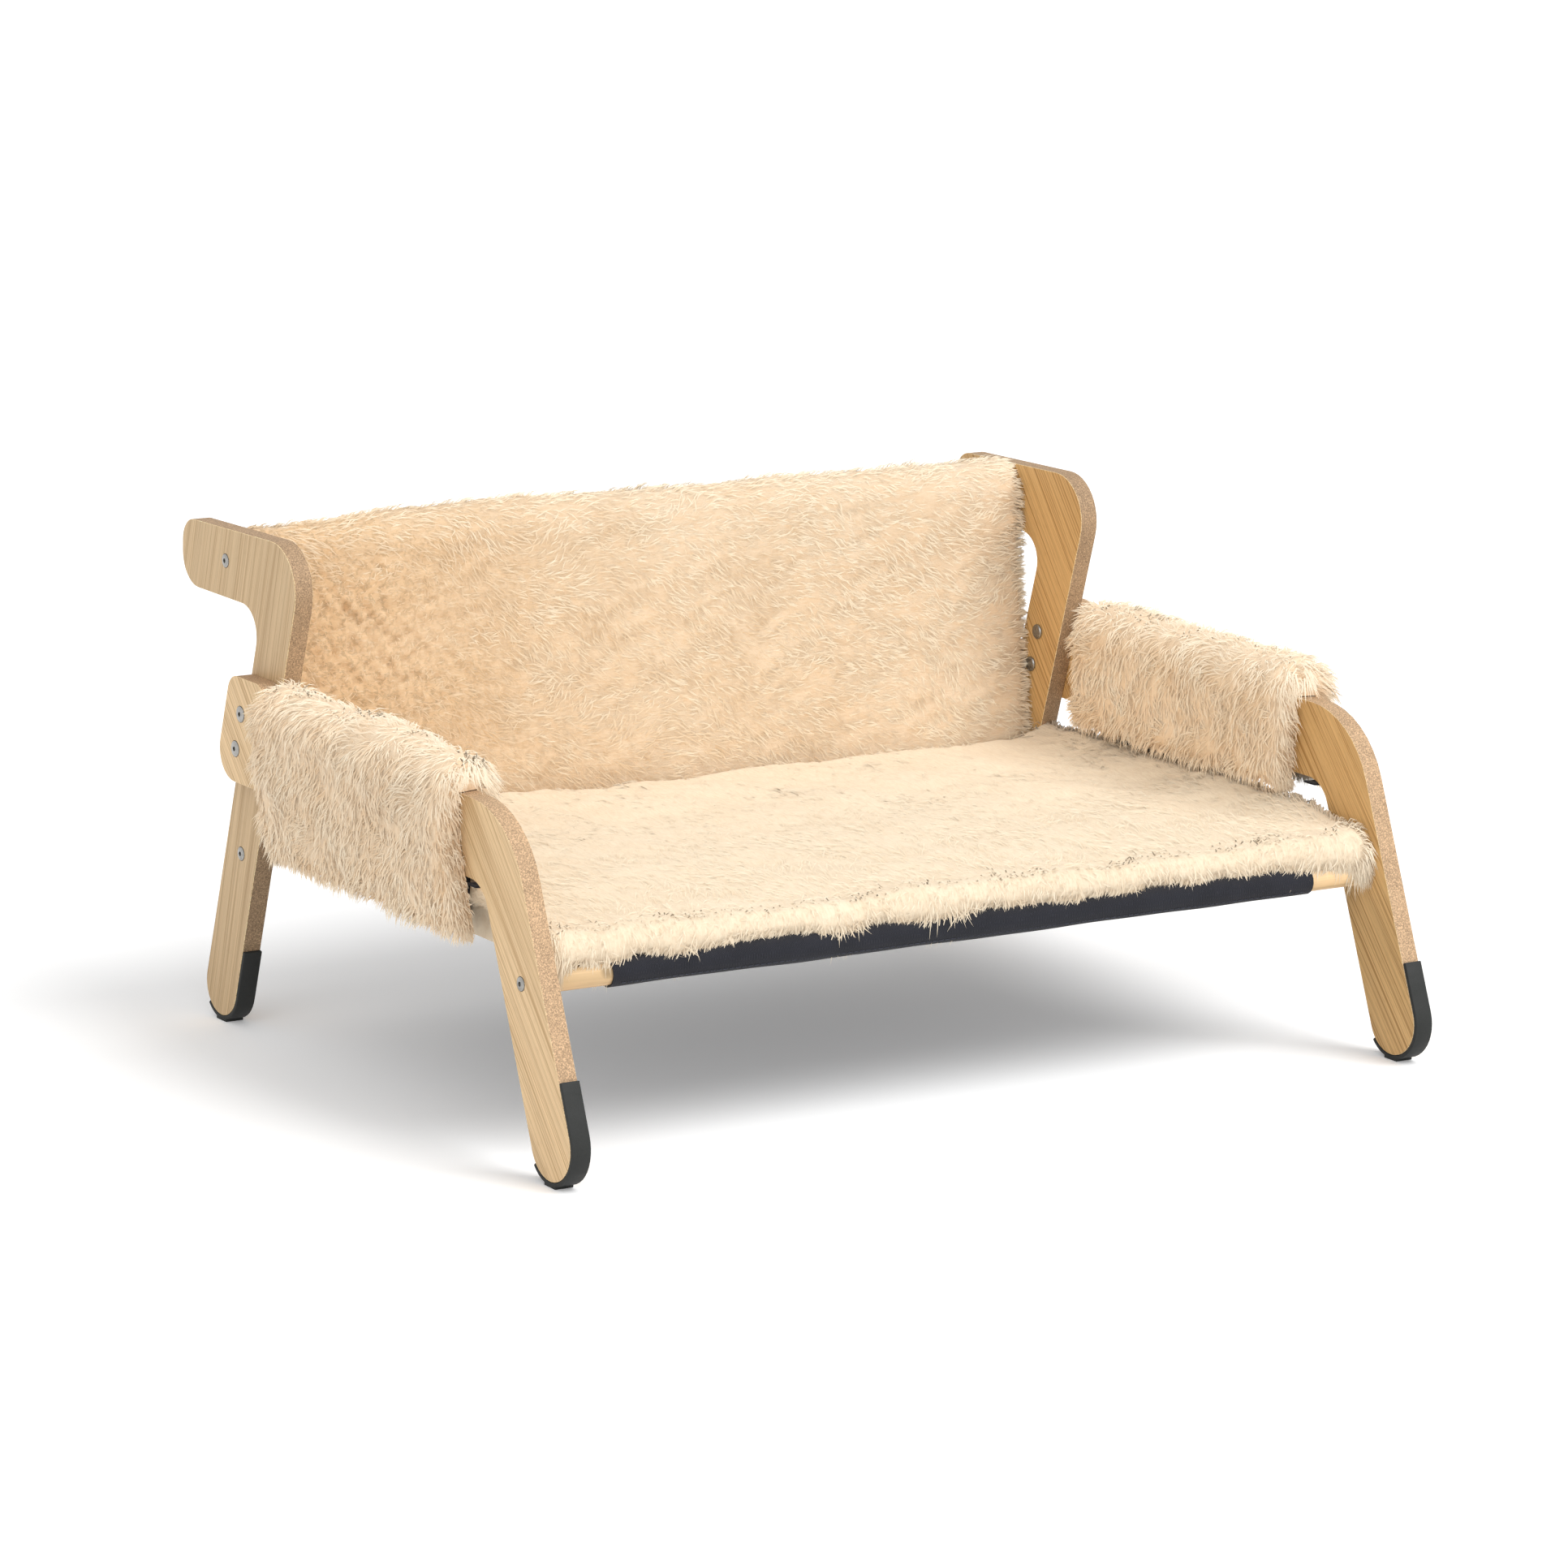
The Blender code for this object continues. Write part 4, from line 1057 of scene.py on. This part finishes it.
def slab(rows, columns, outer, inner):
    """A closed body between two sheets; each gives points for (row share, column share)."""
    shape, row, column = flat_grid(rows, columns)
    top = shape.verts[:]
    copy = bmesh.ops.duplicate(shape, geom=shape.verts[:] + shape.edges[:] + shape.faces[:])
    under = [copy["vert_map"][vert] for vert in top]
    for verts, place in ((top, outer), (under, inner)):
        for vert, point in zip(verts, place(row, column)):
            vert.co = point
    bmesh.ops.bridge_loops(shape, edges=[e for e in shape.edges if e.is_boundary])
    bmesh.ops.recalc_face_normals(shape, faces=shape.faces)
    smooth(shape, math.radians(70))
    return shape


def pile_body(name, node, look, rows, columns, path, start, width, face, depth):
    """The dense body that a pile stands on, as deep as depth below its face."""

    def sheet(row, column, below=None):
        return face(row * path.length, start + column * width, below)[0]

    shape = slab(rows, columns, sheet, lambda row, column: sheet(row, column, depth))
    return piece(name, shape, [look], node)


def strip_face(path, half, swell, edge_width, edge_drop, edge_rise=None, sag=None):
    """Face of a pile that runs straight across the bed: path is its section, half its half width."""

    def face(s, w, below=None):
        at, heading, normal = path.read(s)
        edge = rim(half - np.abs(w), edge_width)
        lift = swell(s, w) * edge - edge_drop * (1 - edge)
        if edge_rise:
            near = ramp(half - np.abs(w), 0.040, 0)
            lift = lift + edge_rise(s) * near * near * (3 - 2 * near)
        if below is not None:
            lift = np.full_like(s, -below)
        yz = at + normal * lift[:, None]
        point = np.stack((w, yz[:, 0], yz[:, 1]), -1)
        if sag:
            point[:, 2] -= sag(s, w)
        zero = np.zeros_like(w)
        along_s = np.stack((zero, heading[:, 0], heading[:, 1]), -1)
        along_w = np.stack((zero + 1, zero, zero), -1)
        out = np.stack((np.sign(w) * (1 - edge) * 0.9, normal[:, 0], normal[:, 1]), -1)
        return point, along_s, along_w, normalised(out)

    return face


def seat_path(body):
    """Top of the seat's pile body, from the seat's rear to its rolled front edge."""
    base = FRONT_RAIL.y + RAIL_RADIUS + CLOTH_DEPTH
    rear = Vector((0.1385, base))
    front = FRONT_RAIL.x + 0.0045
    nose = body * 0.62
    points = [rear, rear + Vector((-0.001, body * 0.6)), rear + Vector((-0.005, body))]
    points += arc(Vector((front, base + body - nose)), nose, math.pi / 2, math.pi * 1.05, 12)
    points += [Vector((front - nose * 0.72, base + 0.0004))]
    return Path(points, out=-1)


class LOUNGER_OT_seat_pile(bpy.types.Operator):
    """Plush pile on the seat, with a ragged front edge over the sleeve."""

    bl_idname = "lounger.seat_pile"
    bl_label = "Seat pile"

    def execute(self, context):
        sizes = settings()[0]
        path = seat_path(sizes.seat_body)
        half = SEAT_HALF
        clear = 0.0012
        hem = waves(SEED + 8, 12, 0.012, 0.07)
        drift = waves(SEED + 4, 12, 0.03, 0.12)
        swell = waves(SEED + 5, 8, 0.03, 0.10)
        shade = waves(SEED + 6, 10, 0.02, 0.12)

        def sag(s, w):
            """The front edge hangs unevenly over the sleeve."""
            return ramp(path.length - s, 0.010, 0) * np.clip(0.0010 + 0.0022 * hem(s * 0, w), -0.001, 0.005)

        def rise(s):
            """The sides swell up by the arms, most of all away from the front."""
            return 0.0035 + 0.0055 * ramp(path.length - s, 0.030, 0.065)

        face = strip_face(path, half, relief(SEED + 2, 1.5, 1.0), 0.007, 0.006, rise, sag)
        skin = pile_body(
            "seat_backing", "seat_pile", "seat_body", 140, 220, path, -half, 2 * half, face,
            sizes.seat_body - clear,
        )

        def comb(s, w, share):
            from_front, from_side = path.length - s, half - np.abs(w)
            turn = drift(s, w) * 0.35
            ahead = ramp(from_front, 0.045, 0.020)
            front = ramp(from_front, 0.014, 0)
            edge = ramp(from_side, 0.022, 0)
            corner = ramp(from_side, 0.025, 0.013) * ramp(s, 0.030, 0)
            ragged = np.clip(0.45 + 0.7 * hem(s * 0, w), 0.05, 1.6)
            return dict(
                s_way=np.cos(turn) * (1.9 * np.maximum(ahead, corner) - 1.0),
                w_way=np.sin(turn) - 0.2 + edge * np.sign(w) * 0.6 - corner * np.sign(w) * 0.8,
                lift=0.20 + 0.10 * swell(s, w) + 1.3 * edge ** 2 + 0.12 * ahead,
                # Painted shade: the under-pile strands are darker, and more so just behind the front edge,
                # where the shade between tufts is painted deeper too.
                tint=0.92 - (share < 1) * (0.3 + 0.25 * ahead) + 0.06 * shade(s, w),
                droop=0.02 + 0.35 * front * ragged + 0.45 * edge,
                length=share * (1 - 0.55 * front * (1 - np.clip(ragged, 0, 1))) * (1 - 0.5 * corner),
                curl=0.3 + 0.25 * front,
                pull=0.45,
                gaps=0.25 + 0.20 * ahead,
            )

        strands = two_layers(
            "seat_strands", "seat_strand", SEED + 3, sizes.seat_count, sizes.seat_under, sizes.seat_length,
            face, (path.length, (-half, half)), (0.22, 0.14), comb,
        )
        return {"FINISHED"}


class LOUNGER_OT_back_pile(bpy.types.Operator):
    """Pile up the backrest and over the top rail."""

    bl_idname = "lounger.back_pile"
    bl_label = "Back pile"

    def execute(self, context):
        sizes = settings()[0]
        to_cloth, clear = 0.0017, 0.0008
        foot_gap, tail = 0.0105, 0.011
        radius = RAIL_RADIUS + to_cloth + sizes.back_body
        points, up, forward = backrest(radius, foot_gap, math.pi, 18)
        points.append(TOP_RAIL - up * tail - forward * radius)
        path = Path(points)
        half = BACK_HALF
        soft = relief(SEED + 7, 1.0, 2.0)
        knots = waves(SEED + 40, 24, 0.005, 0.017)
        drift = waves(SEED + 9, 12, 0.035, 0.14)
        swell = waves(SEED + 10, 8, 0.03, 0.10)
        shade = waves(SEED + 11, 10, 0.02, 0.12)

        def worn_at(s, w):
            """How matted the pile is: an oval patch at the left."""
            return np.clip(1.35 - np.hypot((w + 0.205) / 0.075, (s - 0.110) / 0.050), 0, 1)

        def knotted(s, w):
            return soft(s, w) + 0.0010 * knots(s, w) * worn_at(s, w)

        face = strip_face(path, half, knotted, 0.008, 0.006)
        skin = pile_body(
            "back_backing", "back_pile", "back_body", 116, 260, path, -half, 2 * half, face,
            sizes.back_body - clear,
        )

        def comb(s, w, share):
            turn = drift(s, w) * 0.55
            worn = worn_at(s, w)
            from_end = path.length - s
            edge = ramp(half - np.abs(w), 0.012, 0)
            over = ramp(from_end, 0.040, 0.020)
            up_back = ramp(s, 0, path.length * 0.75)
            rightwards = 0.45 * ramp(w, -0.24, -0.02) + 0.35 * ramp(w, 0.05, 0.20)
            # The last term is painted light: strands over the top rail are paler, to lift the shade that
            # falls there.
            tint = 0.25 + 0.25 * up_back + rightwards - 0.25 * worn + 0.15 * ramp(from_end, 0.085, 0.055)
            return dict(
                s_way=-0.35 * np.cos(turn) + 0.6 * np.sin(turn) + 0.3 * worn + over,
                w_way=0.85 * np.cos(turn) + edge * np.sign(w) * 0.2,
                lift=0.28 + 0.12 * swell(s, w) + 0.35 * worn + 0.2 * edge,
                # Painted shade: the under-pile strands are darker.
                tint=tint - 0.05 - (share < 1) * 0.3 + 0.10 * shade(s, w),
                droop=0.03 + 0.1 * over,
                length=share * (1.0 - 0.65 * worn) * (1 - 0.35 * edge),
                curl=0.22 + 0.5 * worn,
                gaps=0.25,
            )

        strands = two_layers(
            "back_strands", "back_strand", SEED + 8, sizes.back_count, sizes.back_under, sizes.back_length,
            face, (path.length, (-half, half)), (0.05, 0.10), comb,
        )
        return {"FINISHED"}


class LOUNGER_OT_arm_piles(bpy.types.Operator):
    """Pile sleeves over the arms, combed down from the ridge."""

    bl_idname = "lounger.arm_piles"
    bl_label = "Arm piles"

    def execute(self, context):
        for word, side in SIDES:
            self.cover(word, side)
        return {"FINISHED"}

    def cover(self, word, side):
        """One sleeve: its section runs from the inner flap's foot over the arm to the outer one's."""
        sizes = settings()[0]
        to_lining, inner_foot, outer_foot = 0.0018, 0.1470, 0.1255
        gap = to_lining + sizes.arm_body
        points = [Vector((ARM_WIDTH + gap, inner_foot))]
        points += arc(Vector((ARM_WIDTH / 2, ARM_TOP)), ARM_WIDTH / 2 + gap, 0.0, math.pi, 20)
        points += [Vector((-gap, outer_foot))]
        path = Path(points, out=-1)
        length = COVER_LENGTH
        uneven = relief(SEED + 12 + side, 2.6, 1.0)
        drift = waves(SEED + 22 + side, 12, 0.025, 0.09)
        swell = waves(SEED + 24 + side, 8, 0.025, 0.08)
        shade = waves(SEED + 26 + side, 10, 0.015, 0.08)

        def face(s, w, below=None):
            at, heading, normal = path.read(s)
            from_end = length / 2 - np.abs(w - length / 2)
            ends = rim(from_end, RIM_WIDTH)
            feet = rim(path.length / 2 - np.abs(s - path.length / 2), 0.011)
            bulge = 0.0022 * np.sin(math.pi * ramp(s, 0.04, path.length))
            lift = (uneven(s, w) + bulge) * ends * feet - sizes.arm_body * (1 - ends * (0.25 + 0.75 * feet))
            section = at + normal * lift[:, None]
            if below is not None:
                clear = below - 0.0012 * (1 - rim(from_end, 0.008))
                inboard = np.clip(at[:, 0], -clear, ARM_WIDTH + clear)
                section = np.stack((inboard, np.minimum(at[:, 1], ARM_TOP + clear)), -1)
            point = cover_points(side, section, w / length, 0.0)
            forwards = 1.5 * np.clip(normal[:, 1], 0, 1) - 2.2
            toward = (1 - ends) * np.where(w < length / 2, forwards, 1.0)
            zero = np.zeros_like(w)
            along_s = np.stack((-side * heading[:, 0], zero, heading[:, 1]), -1)
            along_w = np.stack((zero, zero + 1, zero), -1)
            out = np.stack((-side * normal[:, 0], toward, normal[:, 1]), -1)
            return point, along_s, along_w, normalised(out)

        skin = pile_body(
            "arm_backing_" + word, "arm_pile_" + word, "arm_body", 90, 120, path, 0.0, length, face, to_lining
        )

        def comb(s, w, share):
            down = np.tanh((s - path.length * 0.42) / 0.016)
            ridge = 1 - np.abs(down)
            turn = drift(s, w) * 0.65
            ahead = ramp(w, 0.008, 0)
            behind = ramp(length - w, 0.020, 0)
            foot = ramp(path.length - s, 0.015, 0) + ramp(s, 0.012, 0)
            # Painted shade: the under-pile strands are darker.
            tint = 0.64 - (share < 1) * 0.3 + 0.09 * shade(s, w)
            return dict(
                s_way=down * np.cos(turn) * (1 - 0.5 * ahead),
                w_way=np.sin(turn) * 0.8 * (1 - ahead) + 0.25 * ridge - ahead + behind * 0.5,
                lift=0.20 + 0.12 * swell(s, w) + 0.15 * ridge + 0.3 * ahead,
                # Painted light: strands along the ridge are paler, where the top of the arm is lit.
                tint=tint + 0.5 * (1 - down * down),
                droop=0.05 + 0.05 * foot + 0.95 * ahead * ridge,
                length=share * (1 - 0.3 * foot + 0.2 * ahead),
                curl=0.3 + 0.1 * ahead,
                gaps=0.35,
            )

        strands = two_layers(
            "arm_strands_" + word, "arm_strand", SEED + 20 + side, sizes.arm_count, sizes.arm_under,
            sizes.arm_length, face, (path.length, (0.0, length)), (0.10, 0.22), comb,
        )


# Stage


class LOUNGER_OT_stage(bpy.types.Operator):
    """Pale floor, soft light and the camera."""

    bl_idname = "lounger.stage"
    bl_label = "Stage"

    def execute(self, context):
        scene = context.scene
        stage = settings()[2]
        scene.view_settings.view_transform = "Standard"
        self.floor()
        self.world(scene, stage)
        self.lamp("key", stage.key, 38, (-0.45, 0.64, -1.0))
        self.lamp("fill", stage.fill, 70, (0.75, 0.75, -0.35))
        self.camera(scene, stage)
        return {"FINISHED"}

    def floor(self):
        """A pale floor that shows white, apart from the shadow on it."""
        shape = bmesh.new()
        bmesh.ops.create_grid(shape, x_segments=4, y_segments=4, size=14)
        mesh = bpy.data.meshes.new("floor")
        shape.to_mesh(mesh)
        shape.free()
        obj = bpy.data.objects.new("floor", mesh)
        bpy.context.scene.collection.objects.link(obj)
        nodes = Nodes("pale_floor")
        pale, white, glow_strength = (0.80, 0.80, 0.80), (1.0, 1.0, 1.0), 0.17
        seen = nodes.seen()
        nodes.finish(nodes.mix(seen, pale, white), 0.9, specular=0.0)
        strength = nodes.math("MULTIPLY", seen, glow_strength)
        glow = nodes.add("ShaderNodeEmission", {"Color": (*white, 1.0), "Strength": strength})
        both = nodes.add(
            "ShaderNodeAddShader", {0: nodes.shader.outputs["BSDF"], 1: glow.outputs["Emission"]}
        )
        nodes.feed(nodes.tree.nodes["Material Output"], "Surface", both.outputs["Shader"])
        mesh.materials.append(nodes.owner)

    def world(self, scene, stage):
        """White to the camera, and the ambient level to everything else."""
        scene.world = bpy.data.worlds.new("soft_room")
        nodes = Nodes("soft_room", scene.world)
        background = nodes.tree.nodes["Background"]
        nodes.feed(background, "Color", (1.0, 1.0, 1.0, 1.0))
        nodes.feed(background, "Strength", nodes.span(nodes.seen(), 0.0, 1.0, stage.ambient, 1.0))

    def lamp(self, name, strength, spread, heading):
        """A soft lamp that shines along its heading, spread in degrees."""
        data = bpy.data.lights.new(name, "SUN")
        data.energy = strength
        data.angle = math.radians(spread)
        obj = bpy.data.objects.new(name, data)
        bpy.context.scene.collection.objects.link(obj)
        obj.rotation_euler = Vector(heading).to_track_quat("-Z", "Y").to_euler()

    def camera(self, scene, stage):
        """The fitted camera, turned, raised and rolled as the settings say."""
        data = bpy.data.cameras.new("camera")
        data.sensor_fit = "HORIZONTAL"
        data.sensor_width = 36.0
        data.lens = stage.lens
        data.clip_end = 50.0
        obj = bpy.data.objects.new("camera", data)
        scene.collection.objects.link(obj)
        azimuth, elevation = stage.azimuth, stage.elevation
        back = Vector((
            math.sin(azimuth) * math.cos(elevation),
            -math.cos(azimuth) * math.cos(elevation),
            math.sin(elevation),
        ))
        right = Vector((math.cos(azimuth), math.sin(azimuth), 0.0))
        up = back.cross(right)
        cosine, sine = math.cos(stage.roll), math.sin(stage.roll)
        across = right * cosine + up * sine
        upward = up * cosine - right * sine
        turn = Matrix((across, upward, back)).transposed().to_4x4()
        obj.matrix_world = Matrix.Translation(Vector(stage.place)) @ turn
        scene.camera = obj


STEPS = (
    LOUNGER_OT_stage,
    LOUNGER_OT_boards,
    LOUNGER_OT_rails,
    LOUNGER_OT_fixings,
    LOUNGER_OT_foot_pads,
    LOUNGER_OT_canvas,
    LOUNGER_OT_seat_pile,
    LOUNGER_OT_back_pile,
    LOUNGER_OT_arm_piles,
)


class LOUNGER_PT_panel(bpy.types.Panel):
    """Sidebar panel that lists the lounger's steps."""

    bl_idname = "LOUNGER_PT_panel"
    bl_label = "Lounger"
    bl_space_type = "VIEW_3D"
    bl_region_type = "UI"
    bl_category = "Lounger"

    def draw(self, context):
        for step in STEPS:
            self.layout.operator(step.bl_idname)


CLASSES = (LoungerSizes, LoungerColours, LoungerStage, *STEPS, LOUNGER_PT_panel)


def register():
    for kind in CLASSES:
        bpy.utils.register_class(kind)
    bpy.types.Scene.lounger_sizes = bpy.props.PointerProperty(type=LoungerSizes)
    bpy.types.Scene.lounger_colours = bpy.props.PointerProperty(type=LoungerColours)
    bpy.types.Scene.lounger_stage = bpy.props.PointerProperty(type=LoungerStage)


def unregister():
    for name in ("lounger_sizes", "lounger_colours", "lounger_stage"):
        delattr(bpy.types.Scene, name)
    for kind in reversed(CLASSES):
        bpy.utils.unregister_class(kind)


def main():
    register()
    for step in STEPS:
        group, name = step.bl_idname.split(".")
        getattr(getattr(bpy.ops, group), name)()


if __name__ == "__main__":
    main()
